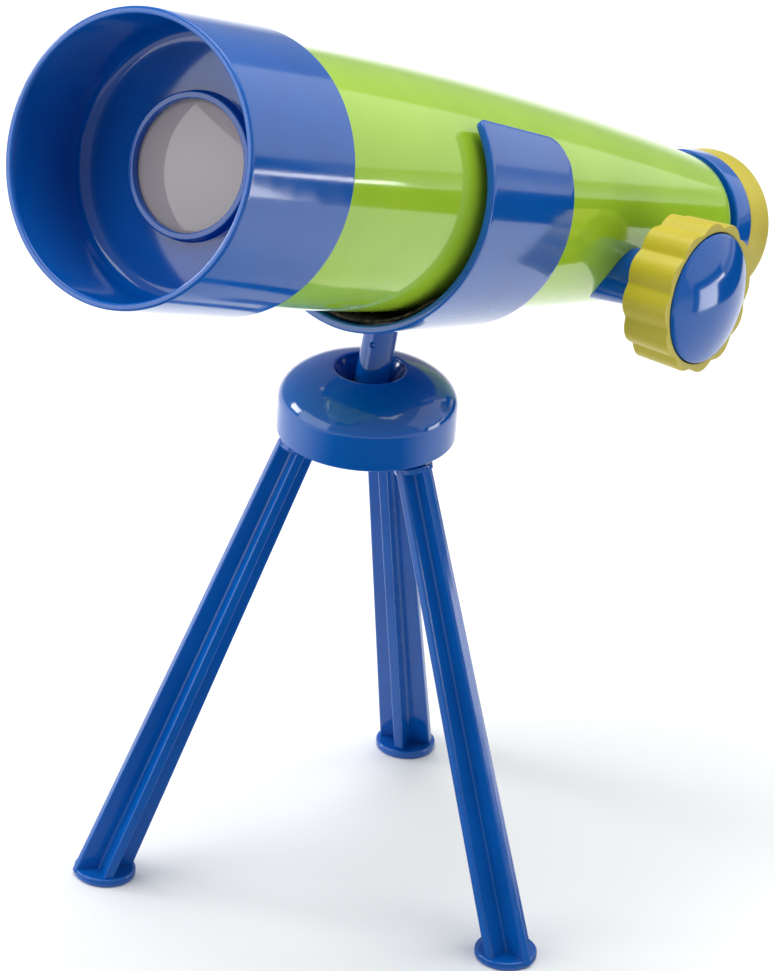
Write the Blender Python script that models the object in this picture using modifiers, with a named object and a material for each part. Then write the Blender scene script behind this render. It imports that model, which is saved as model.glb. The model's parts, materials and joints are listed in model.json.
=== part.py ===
"""A child's telescope on a small tripod, built as its separate pieces.

Units are metres and +Z is up. The telescope is modelled on its own axis: X to the focus knob,
Y down and Z towards the eyepiece, with station 0 over the cradle. It lies in a C-shaped cradle
on a post, the post stands on a ball held in the hub, and three legs plug into the hub.
"""

import math

import bmesh
import bpy
from mathutils import Matrix, Vector

MM = 0.001
GAP = 0.3 * MM  # clearance kept between touching pieces

# Placing
TUBE_PITCH = math.radians(21.6)  # objective up
TUBE_ROLL = math.radians(4.0)  # knob side up
TUBE_HEIGHT = 216.4 * MM  # axis over the hub
POST_LEAN = math.radians(11.3)

# Telescope stations along the axis, and radii
HOOD_FRONT = -119.7 * MM
HOOD_REAR = -72.0 * MM
HOOD_RADIUS = 40.0 * MM
HOOD_REAR_RADIUS = 39.4 * MM
HOOD_BORE = 37.9 * MM
PLATE_FRONT = -89.7 * MM
PLATE_BACK = -87.2 * MM
TUBE_REAR = 157.3 * MM
TUBE_FRONT = -86.6 * MM
TUBE_FRONT_RADIUS = 36.2 * MM
TUBE_DROP = 14.75 * MM  # how much the radius falls along the tube
TUBE_CURVE = 1.85  # power of that fall, over 1 for a bellied tube
TUBE_WALL = 1.6 * MM
RING_RADIUS = 20.0 * MM
RING_FRONT = -93.3 * MM
LENS_RADIUS = 18.7 * MM
LENS_FRONT = -90.7 * MM
LENS_BACK = -88.3 * MM
LENS_FRONT_BULGE = 2.0 * MM
LENS_BACK_BULGE = 1.5 * MM
CELL_DEPTH = 4.2 * MM  # lens cell behind the plate
RETAINER_DEPTH = 3.4 * MM

# Focuser
DRAW_RADIUS = 14.0 * MM
DRAW_BORE = 12.6 * MM
DRAW_FRONT = 66.0 * MM
DRAW_REAR = 159.6 * MM
GUIDE_RADIUS = 19.6 * MM
GUIDE_STATIONS = (149.0 * MM, 156.2 * MM)
KNOB_STATION = 96.6 * MM
KNOB_DROP = 13.3 * MM  # shaft below the telescope's axis
GEAR_MODULE = 0.75 * MM
PINION_TEETH = 12
PITCH_RADIUS = GEAR_MODULE * PINION_TEETH / 2
TOOTH_SHARE = 0.40  # tooth thickness over pitch, the rest of a half is backlash
RACK_TEETH = 17
RACK_X = (14.3 * MM, 17.8 * MM)
SHAFT_RADIUS = 1.9 * MM
SHAFT_X = (13.4 * MM, 47.0 * MM)
SHAFT_HOLE = 1.2 * MM
SHAFT_BORE = 2.2 * MM  # clearance bore in the pinion and bush
BUSH_RADIUS = 3.6 * MM
BUSH_X = (20.8 * MM, 38.3 * MM)
HOUSING_START = 14.0 * MM
HOUSING_END = 38.6 * MM
HOUSING_RADII = (9.6 * MM, 7.6 * MM)
SPIGOT_RADIUS = 5.5 * MM  # the housing's spigot in the tube's side
SPIGOT_X = (20.6 * MM, 30.0 * MM)
HOLE_RADIUS = 5.9 * MM
KNOB_BACK = 39.1 * MM
KNOB_FRONT = 54.4 * MM
KNOB_RADIUS = 22.4 * MM
KNOB_BACK_RADIUS = 21.7 * MM
KNOB_LOBES = 12
LOBE_DEPTH = 1.7 * MM
KNOB_RECESS = 17.5 * MM
KNOB_RECESS_DEPTH = 5.4 * MM
CAP_RADIUS = 19.2 * MM
CAP_RIM = 55.2 * MM
CAP_APEX = 60.2 * MM
CAP_SEAT = 50.4 * MM
CAP_WALL = 2.0 * MM
CAP_RECESS_DEPTH = 4.4 * MM
SCREW_POCKET = 5.0 * MM
SCREW_POCKET_DEPTH = 6.9 * MM

# Eyepiece
COLLAR_RADIUS_REAR = 22.8 * MM
COLLAR_REAR = 167.4 * MM
SPIGOT_FRONT = 153.0 * MM  # the collar's spigot in the draw tube
EYE_BORE = 10.5 * MM
EYE_LENS_RADIUS = 12.0 * MM
EYE_LENS_FRONT = 163.9 * MM
EYE_LENS_BACK = 164.7 * MM
EYE_POCKET = (163.0 * MM, 165.4 * MM)
CUP_SPIGOT_RADIUS = 16.7 * MM
CUP_SPIGOT_FRONT = 165.7 * MM
CUP_FRONT = 167.7 * MM
CUP_LIP_RADIUS = 20.6 * MM
CUP_LIP_STATION = 175.6 * MM
CUP_LIP = 3.0 * MM

# Cradle and post
CRADLE_FRONT = -4.5 * MM
CRADLE_REAR = 45.7 * MM
CRADLE_FRONT_RADIUS = 40.1 * MM
CRADLE_REAR_RADIUS = 35.5 * MM
CRADLE_DROP = 0.8 * MM
CRADLE_WALL = 2.4 * MM
CRADLE_TOP = math.radians(47.0)  # ends of the arms above the horizontal
POST_TOP_RADIUS = 4.8 * MM
POST_FOOT_RADIUS = 5.0 * MM

# Hub and ball
BALL_HEIGHT = 150.0 * MM
BALL_RADIUS = 7.5 * MM
SEAT_RADIUS = 10.4 * MM
HUB_RADIUS = 25.6 * MM
HUB_BOTTOM = 140.4 * MM
HUB_SHOULDER = 150.4 * MM
HUB_TOP = 161.3 * MM
HUB_CROWN = 3.6 * MM
HUB_WALL = 2.3 * MM
HUB_HOLE = 10.0 * MM
BASE_BOTTOM = 140.7 * MM
BASE_TOP = 142.1 * MM
HUB_NECK = 11.5 * MM
HUB_THROAT = 3.2 * MM  # how far the cover's socket reaches above the ball's centre
SOCKET_RADIUS = 5.1 * MM
SOCKET_DEPTH = 3.4 * MM
COLUMN_RADIUS = 2.8 * MM
COLUMN_BORE = 1.3 * MM
SCREW_CIRCLE = 18.5 * MM
SCREW_SHANK = 1.0 * MM
SCREW_HEAD = 2.5 * MM
SCREW_HOLE = 1.4 * MM

# Legs
FOOT_CIRCLE = 70.4 * MM
LEG_FOOT = 71.8 * MM  # where the leg's centre line meets the floor
LEG_TOP = 18.7 * MM  # and where it meets the hub's underside
LEG_AZIMUTHS = tuple(math.radians(-128.4 + 120.0 * k) for k in range(3))
LEG_NAMES = ("leg_front_left", "leg_right", "leg_rear")
PAD_RADIUS = 9.0 * MM
PAD_HEIGHT = 2.4 * MM
RIB_THICKNESS = 2.8 * MM
RIB_WIDTH_TOP = 11.4 * MM
RIB_WIDTH_FOOT = 16.0 * MM
RIB_OVERRUN = 6.0 * MM  # how far past the floor the ribs' taper is measured
COLLAR_HEIGHT = 137.0 * MM
COLLAR_RADIUS = 5.6 * MM
COLLAR_HALF = 0.9 * MM
PEG_RADIUS = 3.6 * MM
PEG_LENGTH = 10.5 * MM


def clear_scene():
    for old in list(bpy.data.objects):
        bpy.data.objects.remove(old, do_unlink=True)


def make_collection(name):
    made = bpy.data.collections.new(name)
    bpy.context.scene.collection.children.link(made)
    return made


def make_material(name, colour, roughness, metallic=0.0, transmission=0.0):
    """A Principled material; colour is linear red, green and blue."""
    made = bpy.data.materials.new(name)
    made.use_nodes = True
    shader = made.node_tree.nodes["Principled BSDF"]
    shader.inputs["Base Color"].default_value = (*colour, 1.0)
    shader.inputs["Roughness"].default_value = roughness
    shader.inputs["Metallic"].default_value = metallic
    shader.inputs["Transmission Weight"].default_value = transmission
    return made


def make_empty(name, matrix, parent=None):
    made = bpy.data.objects.new(name, None)
    PARTS.objects.link(made)
    made.parent = parent
    made.matrix_local = matrix
    return made


def make_object(name, mesh, parent, matrix=None, material=None):
    """Links a part, or a cutter where it has no material."""
    made = bpy.data.objects.new(name, mesh)
    made.parent = parent
    made.matrix_local = matrix or Matrix.Identity(4)
    if material is None:
        CUTTERS.objects.link(made)
        made.hide_render = True
        made.display_type = "WIRE"
        return made
    PARTS.objects.link(made)
    mesh.materials.append(material)
    return made


def cut(target, tool, operation="DIFFERENCE"):
    modifier = target.modifiers.new(tool.name, "BOOLEAN")
    modifier.operation = operation
    modifier.object = tool
    modifier.solver = "EXACT"


def bevel(target, width, segments=2):
    modifier = target.modifiers.new("edges", "BEVEL")
    modifier.width = width
    modifier.segments = segments
    modifier.limit_method = "ANGLE"
    modifier.angle_limit = math.radians(40.0)


def arc(radius, height, size, start, end, count):
    """Points on an arc about (radius, height), with angles in degrees from +X towards +Z."""
    points = []
    for k in range(count + 1):
        angle = math.radians(start + (end - start) * k / count)
        points.append((radius + size * math.cos(angle), height + size * math.sin(angle)))
    return points


def turned(name, profile, parent, matrix=None, material=None, steps=32, closed=True):
    """Turns a (radius, height) profile about Z; it runs down the outer side first."""
    mesh = bpy.data.meshes.new(name)
    points = [(radius, 0.0, height) for radius, height in profile]
    edges = [(k, k + 1) for k in range(len(points) - 1)]
    if closed:
        edges.append((len(points) - 1, 0))
    mesh.from_pydata(points, edges, [])
    made = make_object(name, mesh, parent, matrix, material)
    screw = made.modifiers.new("turn", "SCREW")
    screw.axis = "Z"
    screw.steps = steps
    screw.render_steps = steps
    screw.use_merge_vertices = True
    screw.merge_threshold = 0.00001
    screw.use_smooth_shade = True
    return made


def along(start, end, radius_start, radius_end, name, parent, material=None, segments=24):
    """A round bar or cone between two points."""
    mesh = bpy.data.meshes.new(name)
    build = bmesh.new()
    axis = Vector(end) - Vector(start)
    bmesh.ops.create_cone(
        build,
        cap_ends=True,
        segments=segments,
        radius1=radius_start,
        radius2=radius_end,
        depth=axis.length,
    )
    build.to_mesh(mesh)
    build.free()
    turn = axis.to_track_quat("Z", "Y").to_matrix().to_4x4()
    middle = Matrix.Translation((Vector(start) + Vector(end)) / 2)
    return make_object(name, mesh, parent, middle @ turn, material)


def box(low, high, name, parent, material=None):
    mesh = bpy.data.meshes.new(name)
    build = bmesh.new()
    size = Vector(high) - Vector(low)
    place = Matrix.Translation((Vector(low) + Vector(high)) / 2) @ Matrix.Diagonal((*size, 1.0))
    bmesh.ops.create_cube(build, size=1.0, matrix=place)
    build.to_mesh(mesh)
    build.free()
    return make_object(name, mesh, parent, None, material)


def extruded(name, outline, low, high, parent, matrix=None, material=None):
    """Extrudes a flat (y, z) outline along X from low to high."""
    mesh = bpy.data.meshes.new(name)
    build = bmesh.new()
    face = build.faces.new([build.verts.new((low, y, z)) for y, z in outline])
    grown = bmesh.ops.extrude_face_region(build, geom=[face])
    tips = [item for item in grown["geom"] if isinstance(item, bmesh.types.BMVert)]
    bmesh.ops.translate(build, verts=tips, vec=(high - low, 0.0, 0.0))
    bmesh.ops.recalc_face_normals(build, faces=build.faces)
    build.to_mesh(mesh)
    build.free()
    return make_object(name, mesh, parent, matrix, material)


def tube_radius(station):
    share = max(0.0, (station - HOOD_REAR) / (TUBE_REAR - HOOD_REAR))
    return TUBE_FRONT_RADIUS - TUBE_DROP * share**TUBE_CURVE


def cradle_radius(station):
    share = (station - CRADLE_FRONT) / (CRADLE_REAR - CRADLE_FRONT)
    return CRADLE_FRONT_RADIUS + (CRADLE_REAR_RADIUS - CRADLE_FRONT_RADIUS) * share


def tube_outline(grow=0.0, rows=7):
    """The body tube's outer side, from its rear end to its front end."""
    stations = [TUBE_REAR + (HOOD_REAR - TUBE_REAR) * k / rows for k in range(rows + 1)]
    outline = [(tube_radius(station) + grow, station) for station in stations]
    return outline + [(TUBE_FRONT_RADIUS - 0.1 * MM + grow, TUBE_FRONT)]


def hood_profile():
    lip = 1.0 * MM
    fillet = 5.0 * MM
    outer = [(HOOD_REAR_RADIUS - 0.6 * MM, HOOD_REAR), (HOOD_REAR_RADIUS, HOOD_REAR - 0.6 * MM)]
    outer += arc(HOOD_RADIUS - lip, HOOD_FRONT, lip, 0.0, -180.0, 4)
    recess = arc(HOOD_BORE - fillet, PLATE_FRONT - fillet, fillet, 0.0, 90.0, 3)
    ring = [
        (RING_RADIUS, PLATE_FRONT),
        (RING_RADIUS, RING_FRONT + 0.4 * MM),
        (RING_RADIUS - 0.4 * MM, RING_FRONT),
        (LENS_RADIUS - 0.4 * MM, RING_FRONT),
        (LENS_RADIUS - 0.8 * MM, RING_FRONT + 0.4 * MM),
        (LENS_RADIUS - 0.8 * MM, LENS_FRONT - GAP),
    ]
    cell = [
        (LENS_RADIUS + GAP, LENS_FRONT - GAP),
        (LENS_RADIUS + GAP, PLATE_BACK + CELL_DEPTH),
        (LENS_RADIUS + 2.5 * MM, PLATE_BACK + CELL_DEPTH),
        (LENS_RADIUS + 2.5 * MM, PLATE_BACK),
        (TUBE_FRONT_RADIUS + GAP, PLATE_BACK),
        (TUBE_FRONT_RADIUS + GAP, HOOD_REAR),
    ]
    return outer + recess + ring + cell


def eyecup_profile():
    skirt = 22.9 * MM
    lip = arc(CUP_LIP_RADIUS, CUP_LIP_STATION, CUP_LIP, 130.0, 0.0, 4)
    return lip + [
        (skirt, CUP_FRONT + 0.5 * MM),
        (skirt - 0.5 * MM, CUP_FRONT),
        (CUP_SPIGOT_RADIUS, CUP_FRONT),
        (CUP_SPIGOT_RADIUS, CUP_SPIGOT_FRONT),
        (EYE_BORE, CUP_SPIGOT_FRONT),
        (EYE_BORE, CUP_FRONT + 0.8 * MM),
    ]


def lens_profile(radius, back, back_curve, front, front_curve, count=4):
    """A lens's outline from its back's middle to its front's; a curve is the rise at the edge."""
    shares = [k / count for k in range(1, count + 1)]
    outline = [(0.0, back)] + [(radius * share, back + back_curve * share**2) for share in shares]
    outline += [(radius * share, front + front_curve * share**2) for share in reversed(shares)]
    return outline + [(0.0, front)]


def make_optics(frame):
    turned("front_hood", hood_profile(), frame, None, BLUE)
    lens = lens_profile(
        LENS_RADIUS,
        LENS_BACK + LENS_BACK_BULGE,
        -LENS_BACK_BULGE,
        LENS_FRONT - LENS_FRONT_BULGE,
        LENS_FRONT_BULGE,
    )
    turned("objective_lens", lens, frame, None, GLASS, closed=False)
    front = LENS_BACK + 0.8 * MM
    bore = LENS_RADIUS - 2.7 * MM
    rear = PLATE_BACK + RETAINER_DEPTH
    ring = [(LENS_RADIUS, rear), (LENS_RADIUS, front), (bore, front), (bore, rear)]
    turned("lens_retaining_ring", ring, frame, None, BLACK)


def make_body_tube(frame):
    outer = tube_outline()
    inner = [(radius - TUBE_WALL, station) for radius, station in reversed(outer)]
    tube = turned("body_tube", outer + inner, frame, None, GREEN)
    cut(tube, across_bar("tube_hole", (18.0 * MM, 34.0 * MM), HOLE_RADIUS, frame))
    front, rear = GUIDE_STATIONS
    bore = DRAW_RADIUS + 0.35 * MM
    guide = [(GUIDE_RADIUS, rear), (GUIDE_RADIUS, front), (bore, front), (bore, rear)]
    turned("draw_tube_guide", guide, frame, None, BLACK)


def make_eyepiece(frame):
    draw = [
        (DRAW_RADIUS, DRAW_REAR),
        (DRAW_RADIUS, DRAW_FRONT),
        (DRAW_BORE, DRAW_FRONT),
        (DRAW_BORE, DRAW_REAR),
    ]
    turned("draw_tube", draw, frame, None, BLACK)
    face = DRAW_REAR + GAP
    edge = 0.5 * MM
    seat, pocket = EYE_POCKET
    collar = [
        (COLLAR_RADIUS_REAR - edge, COLLAR_REAR),
        (COLLAR_RADIUS_REAR, COLLAR_REAR - edge),
        (COLLAR_RADIUS_REAR - 0.3 * MM, face + edge),
        (COLLAR_RADIUS_REAR - 0.8 * MM, face),
        (DRAW_BORE - GAP, face),
        (DRAW_BORE - GAP, SPIGOT_FRONT),
        (EYE_BORE, SPIGOT_FRONT),
        (EYE_BORE, seat),
        (EYE_LENS_RADIUS + GAP, seat),
        (EYE_LENS_RADIUS + GAP, pocket),
        (CUP_SPIGOT_RADIUS + GAP, pocket),
        (CUP_SPIGOT_RADIUS + GAP, COLLAR_REAR),
    ]
    turned("eyepiece_collar", collar, frame, None, BLUE)
    lens = lens_profile(EYE_LENS_RADIUS, EYE_LENS_BACK, 0.6 * MM, EYE_LENS_FRONT, -0.5 * MM)
    turned("eye_lens", lens, frame, None, GLASS, steps=24, closed=False)
    turned("eyecup", eyecup_profile(), frame, None, YELLOW)


def knob_axis_point(x):
    return (x, KNOB_DROP, KNOB_STATION)


def across_bar(name, ends, radius, frame, material=None, segments=24):
    """A round bar on the knob's axis between two distances from the telescope's middle."""
    start, end = (knob_axis_point(x) for x in ends)
    return along(start, end, radius, radius, name, frame, material, segments)


def rack_outline():
    """The rack's (y, z) outline: a bar above, with trapezoid teeth that point down."""
    pitch = math.pi * GEAR_MODULE
    line = KNOB_DROP - PITCH_RADIUS
    tip = line + 0.9 * GEAR_MODULE
    root = line - 1.25 * GEAR_MODULE
    slope = math.tan(math.radians(20.0))
    half = TOOTH_SHARE * pitch / 2
    outline = []
    first = KNOB_STATION - 11 * pitch
    for k in range(RACK_TEETH):
        centre = first + k * pitch
        foot = half + (line - root) * slope
        point = half - (tip - line) * slope
        outline += [(root, centre - foot), (tip, centre - point)]
        outline += [(tip, centre + point), (root, centre + foot)]
    end = first + RACK_TEETH * pitch
    return outline + [(root, end), (0.0, end), (0.0, first - pitch), (root, first - pitch)]


def pinion_outline():
    """Involute teeth about the shaft, with a tooth space towards the rack."""
    base = PITCH_RADIUS * math.cos(math.radians(20.0))
    root = PITCH_RADIUS - 1.25 * GEAR_MODULE
    tip = PITCH_RADIUS + 0.9 * GEAR_MODULE
    pitch_angle = 2.0 * math.pi / PINION_TEETH

    def involute(radius):
        roll = math.sqrt(max(0.0, (radius / base) ** 2 - 1.0))
        return roll - math.atan(roll)

    half = TOOTH_SHARE * pitch_angle / 2 + involute(PITCH_RADIUS)
    radii = [root, base] + [base + (tip - base) * k / 3 for k in range(1, 4)]
    outline = []
    for tooth in range(PINION_TEETH):
        middle = -math.pi / 2 + (tooth + 0.5) * pitch_angle
        flank = [(radius, half - involute(radius)) for radius in radii]
        for radius, angle in flank:
            outline.append((radius * math.sin(middle - angle), radius * math.cos(middle - angle)))
        for radius, angle in reversed(flank):
            outline.append((radius * math.sin(middle + angle), radius * math.cos(middle + angle)))
    return outline


def make_focuser(frame):
    """The rack and pinion, the shaft in its bush, and the housing on the tube's side."""
    extruded("focus_rack", rack_outline(), *RACK_X, frame, None, WHITE)
    pinion_place = Matrix.Translation(knob_axis_point(0.0))
    pinion = extruded("focus_pinion", pinion_outline(), *RACK_X, frame, pinion_place, WHITE)
    cut(pinion, across_bar("pinion_bore", (10.0 * MM, 30.0 * MM), SHAFT_BORE, frame))

    shaft = across_bar("focus_shaft", SHAFT_X, SHAFT_RADIUS, frame, STEEL)
    cut(shaft, across_bar("shaft_hole", (41.0 * MM, 50.0 * MM), SHAFT_HOLE, frame))

    bush = across_bar("shaft_bush", BUSH_X, BUSH_RADIUS, frame, WHITE)
    cut(bush, across_bar("bush_bore", (18.0 * MM, 40.0 * MM), SHAFT_BORE, frame))

    start, end = knob_axis_point(HOUSING_START), knob_axis_point(HOUSING_END)
    housing = along(start, end, *HOUSING_RADII, "focus_housing", frame, BLUE)
    saddle = tube_outline(GAP)
    saddle = [(0.0, saddle[0][1])] + saddle + [(0.0, saddle[-1][1])]
    cut(housing, turned("saddle_cut", saddle, frame, closed=False))
    cut(housing, across_bar("spigot", SPIGOT_X, SPIGOT_RADIUS, frame), "UNION")
    cut(housing, across_bar("housing_bore", (16.0 * MM, 42.0 * MM), BUSH_RADIUS + GAP, frame))


def make_knob(frame):
    knob = along(
        knob_axis_point(KNOB_BACK),
        knob_axis_point(KNOB_FRONT),
        KNOB_BACK_RADIUS,
        KNOB_RADIUS,
        "focus_knob",
        frame,
        YELLOW,
        segments=KNOB_LOBES * 6,
    )
    for vertex in knob.data.vertices:
        angle = math.atan2(vertex.co.y, vertex.co.x)
        valley = 1.0 - abs(math.sin(angle * KNOB_LOBES / 2))
        reach = math.hypot(vertex.co.x, vertex.co.y)
        shrink = 1.0 - LOBE_DEPTH * valley / reach
        vertex.co.x *= shrink
        vertex.co.y *= shrink
    bevel(knob, 0.5 * MM, 1)
    hollows = (
        ("knob_back_recess", KNOB_BACK - 5.0 * MM, KNOB_BACK + KNOB_RECESS_DEPTH, KNOB_RECESS),
        ("knob_cap_recess", KNOB_FRONT - CAP_RECESS_DEPTH, KNOB_FRONT + 5.0 * MM, CAP_RADIUS + GAP),
        ("knob_screw_recess", KNOB_FRONT - SCREW_POCKET_DEPTH, KNOB_FRONT - 3.0 * MM, SCREW_POCKET),
        ("knob_bore", KNOB_BACK, KNOB_FRONT, SHAFT_RADIUS + GAP),
    )
    for name, low, high, radius in hollows:
        cut(knob, across_bar(name, (low, high), radius, frame, segments=36))

    turn = Matrix.Translation(knob_axis_point(0.0)) @ Matrix.Rotation(math.pi / 2, 4, "Y")
    rise = CAP_APEX - CAP_RIM
    inside = CAP_RADIUS - CAP_WALL
    vault = CAP_APEX - CAP_WALL
    profile = [(0.0, CAP_APEX)]
    profile += [(CAP_RADIUS * k / 5, CAP_APEX - rise * (k / 5) ** 2) for k in range(1, 6)]
    profile += [(CAP_RADIUS, CAP_SEAT), (inside, CAP_SEAT)]
    profile += [(inside * k / 3, vault - rise * (k / 3) ** 2) for k in range(3, 0, -1)]
    profile.append((0.0, vault))
    turned("knob_cap", profile, frame, turn, BLUE, closed=False)

    head = KNOB_FRONT - SCREW_POCKET_DEPTH + GAP
    screw = [
        (0.0, head + 1.8 * MM),
        (2.6 * MM, head + 1.8 * MM),
        (3.6 * MM, head + 0.9 * MM),
        (3.6 * MM, head),
        (0.9 * MM, head),
        (0.9 * MM, head - 6.0 * MM),
        (0.0, head - 6.0 * MM),
    ]
    turned("knob_screw", screw, frame, turn, STEEL, steps=12, closed=False)


def bent_band(name, radius, low, high, top, corners, wall, rows, parent, material):
    """A band bent round the underside of the telescope's axis.

    The band runs from station low to high, with its outer radius given by a function of station.
    Its ends are at angle top above the horizontal, with corners rounded to the two given radii at
    the front and the rear. It has the given number of rows of faces round the axis.
    """
    columns = 9
    mesh = bpy.data.meshes.new(name)
    build = bmesh.new()
    bmesh.ops.create_grid(build, x_segments=columns, y_segments=rows, size=1.0)
    for vertex in build.verts:
        # Columns crowd towards both edges, where the corners are rounded.
        across = 0.5 - 0.5 * math.cos(math.pi * (vertex.co.x + 1.0) / 2)
        station = low + (high - low) * across
        reach = radius(station)
        cutback = 0.0
        for size, distance in ((corners[0], station - low), (corners[1], high - station)):
            if distance < size:
                cutback = size - math.sqrt(size**2 - (size - distance) ** 2)
        end = math.pi / 2 + top - cutback / reach
        angle = end * vertex.co.y
        vertex.co = (reach * math.sin(angle), CRADLE_DROP + reach * math.cos(angle), station)
    bmesh.ops.recalc_face_normals(build, faces=build.faces)
    face = build.faces[0]
    middle = face.calc_center_median()
    if face.normal.dot(Vector((middle.x, middle.y - CRADLE_DROP, 0.0))) < 0.0:
        bmesh.ops.reverse_faces(build, faces=build.faces)
    build.to_mesh(mesh)
    build.free()
    made = make_object(name, mesh, parent, None, material)
    solid = made.modifiers.new("wall", "SOLIDIFY")
    solid.thickness = wall
    solid.offset = -1.0
    solid.use_even_offset = True
    return made


def make_cradle(frame, post_frame):
    cradle = bent_band(
        "cradle",
        cradle_radius,
        CRADLE_FRONT,
        CRADLE_REAR,
        CRADLE_TOP,
        (2.5 * MM, 9.0 * MM),
        CRADLE_WALL,
        30,
        frame,
        BLUE,
    )
    bent_band(
        "cradle_pad",
        lambda station: cradle_radius(station) - CRADLE_WALL - 1.5 * GAP,
        CRADLE_FRONT + 1.6 * MM,
        CRADLE_REAR - 2.0 * MM,
        math.radians(-38.0),
        (2.0 * MM, 2.0 * MM),
        0.9 * MM,
        12,
        frame,
        BLACK,
    )
    # Heights below are along the post from the ball's centre.
    seat = POST_TOP - GAP
    hole = (seat - 3.0 * MM, seat + 8.0 * MM)
    cut(cradle, upright("screw_hole", hole, (1.7 * MM, 1.7 * MM), post_frame))
    sink = (seat + 0.9 * MM, seat + 7.9 * MM)
    cut(cradle, upright("screw_sink", sink, (1.6 * MM, 8.6 * MM), post_frame))
    screw = [
        (0.0, seat + 2.3 * MM),
        (2.3 * MM, seat + 2.3 * MM),
        (1.2 * MM, seat + 1.2 * MM),
        (1.2 * MM, seat - 7.0 * MM),
        (0.0, seat - 7.0 * MM),
    ]
    turned("cradle_screw", screw, post_frame, None, STEEL, steps=12, closed=False)


def upright(name, heights, radii, frame, material=None, segments=24, at=(0.0, 0.0)):
    """A round bar or cone along Z between two heights, standing at a point of its frame."""
    low, high = heights
    return along((*at, low), (*at, high), *radii, name, frame, material, segments)


def make_post(frame, post_frame):
    heights = (5.0 * MM, POST_TOP + 8.0 * MM)
    radii = (POST_FOOT_RADIUS, POST_TOP_RADIUS)
    post = upright("swivel_post", heights, radii, post_frame, BLUE)
    rows = [CRADLE_REAR + 4.0 * MM, CRADLE_FRONT - 4.0 * MM]
    cone = [(0.0, rows[0])] + [(cradle_radius(row) + GAP, row) for row in rows] + [(0.0, rows[1])]
    seat_place = Matrix.Translation((0.0, CRADLE_DROP, 0.0))
    cut(post, turned("cradle_seat_cut", cone, frame, seat_place, steps=48, closed=False))
    hollow = sphere_profile(BALL_RADIUS + 0.35 * MM)
    cut(post, turned("ball_cut", hollow, post_frame, steps=24, closed=False))
    pilot = (POST_TOP - 9.0 * MM, POST_TOP + 6.0 * MM)
    cut(post, upright("pilot", pilot, (1.5 * MM, 1.5 * MM), post_frame))
    slot = (13.5 * MM, POST_TOP - 1.0 * MM)
    slot_at = (POST_TOP_RADIUS + 0.5 * MM, 0.0)
    cut(post, upright("post_slot", slot, (1.2 * MM, 1.2 * MM), post_frame, segments=16, at=slot_at))
    ball = sphere_profile(BALL_RADIUS)
    turned("swivel_ball", ball, post_frame, None, BLACK, steps=24, closed=False)


def sphere_profile(radius, rows=10):
    angles = [math.pi * k / rows for k in range(1, rows)]
    middle = [(radius * math.sin(angle), radius * math.cos(angle)) for angle in angles]
    return [(0.0, radius)] + middle + [(0.0, -radius)]


def dome(shrink, start, end, count):
    """Points on the hub's crown between two radii, offset inwards by shrink."""
    points = []
    for k in range(count + 1):
        radius = start + (end - start) * k / count
        level = max(0.0, 1.0 - ((radius - HUB_CROWN) / (HUB_RADIUS - shrink - HUB_CROWN)) ** 2)
        points.append((radius, HUB_SHOULDER + (HUB_TOP - HUB_SHOULDER - shrink) * math.sqrt(level)))
    return points


def make_hub_cover(root):
    """The dome, whose inside ends in the socket that holds the ball down."""
    socket = BALL_RADIUS + GAP
    inner_wall = HUB_RADIUS - HUB_WALL
    edge = 1.4 * MM
    profile = dome(0.0, HUB_HOLE + 0.7 * MM, HUB_RADIUS - 3.0 * MM, 4)
    profile += dome(0.0, HUB_RADIUS - 1.6 * MM, HUB_RADIUS, 3)
    profile += arc(HUB_RADIUS - edge, HUB_BOTTOM + edge, edge, 0.0, -90.0, 2)
    profile.append((inner_wall, HUB_BOTTOM))
    profile += dome(HUB_WALL, inner_wall, HUB_NECK, 4)
    profile += [(HUB_NECK, BALL_HEIGHT + GAP), (socket, BALL_HEIGHT + GAP)]
    for height in (0.5 * HUB_THROAT, HUB_THROAT):
        profile.append((math.sqrt(socket**2 - height**2), BALL_HEIGHT + height))
    profile.append((HUB_HOLE, HUB_TOP - 1.3 * MM))
    return turned("hub_cover", profile, root, None, BLUE)


def make_hub_base(root):
    """The plate under the hub, with a socket for each leg."""
    edge = HUB_RADIUS - HUB_WALL - GAP
    plate = [(0.0, BASE_TOP), (edge, BASE_TOP), (edge, BASE_BOTTOM), (0.0, BASE_BOTTOM)]
    base = turned("hub_base", plate, root, None, BLUE, closed=False)
    rings = (
        ("socket", (BASE_TOP - 1.0 * MM, BASE_TOP + SOCKET_DEPTH), SOCKET_RADIUS, "UNION"),
        ("socket_bore", (BASE_BOTTOM - 4.0 * MM, BASE_TOP + 8.0 * MM), PEG_RADIUS + GAP, "DIFFERENCE"),
    )
    for label, heights, radius, operation in rings:
        for number, azimuth in enumerate(LEG_AZIMUTHS, 1):
            start, stop = (leg_point(azimuth, height) for height in heights)
            name = f"{label}_{number}"
            cut(base, along(start, stop, radius, radius, name, root, segments=20), operation)
    return base


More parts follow.
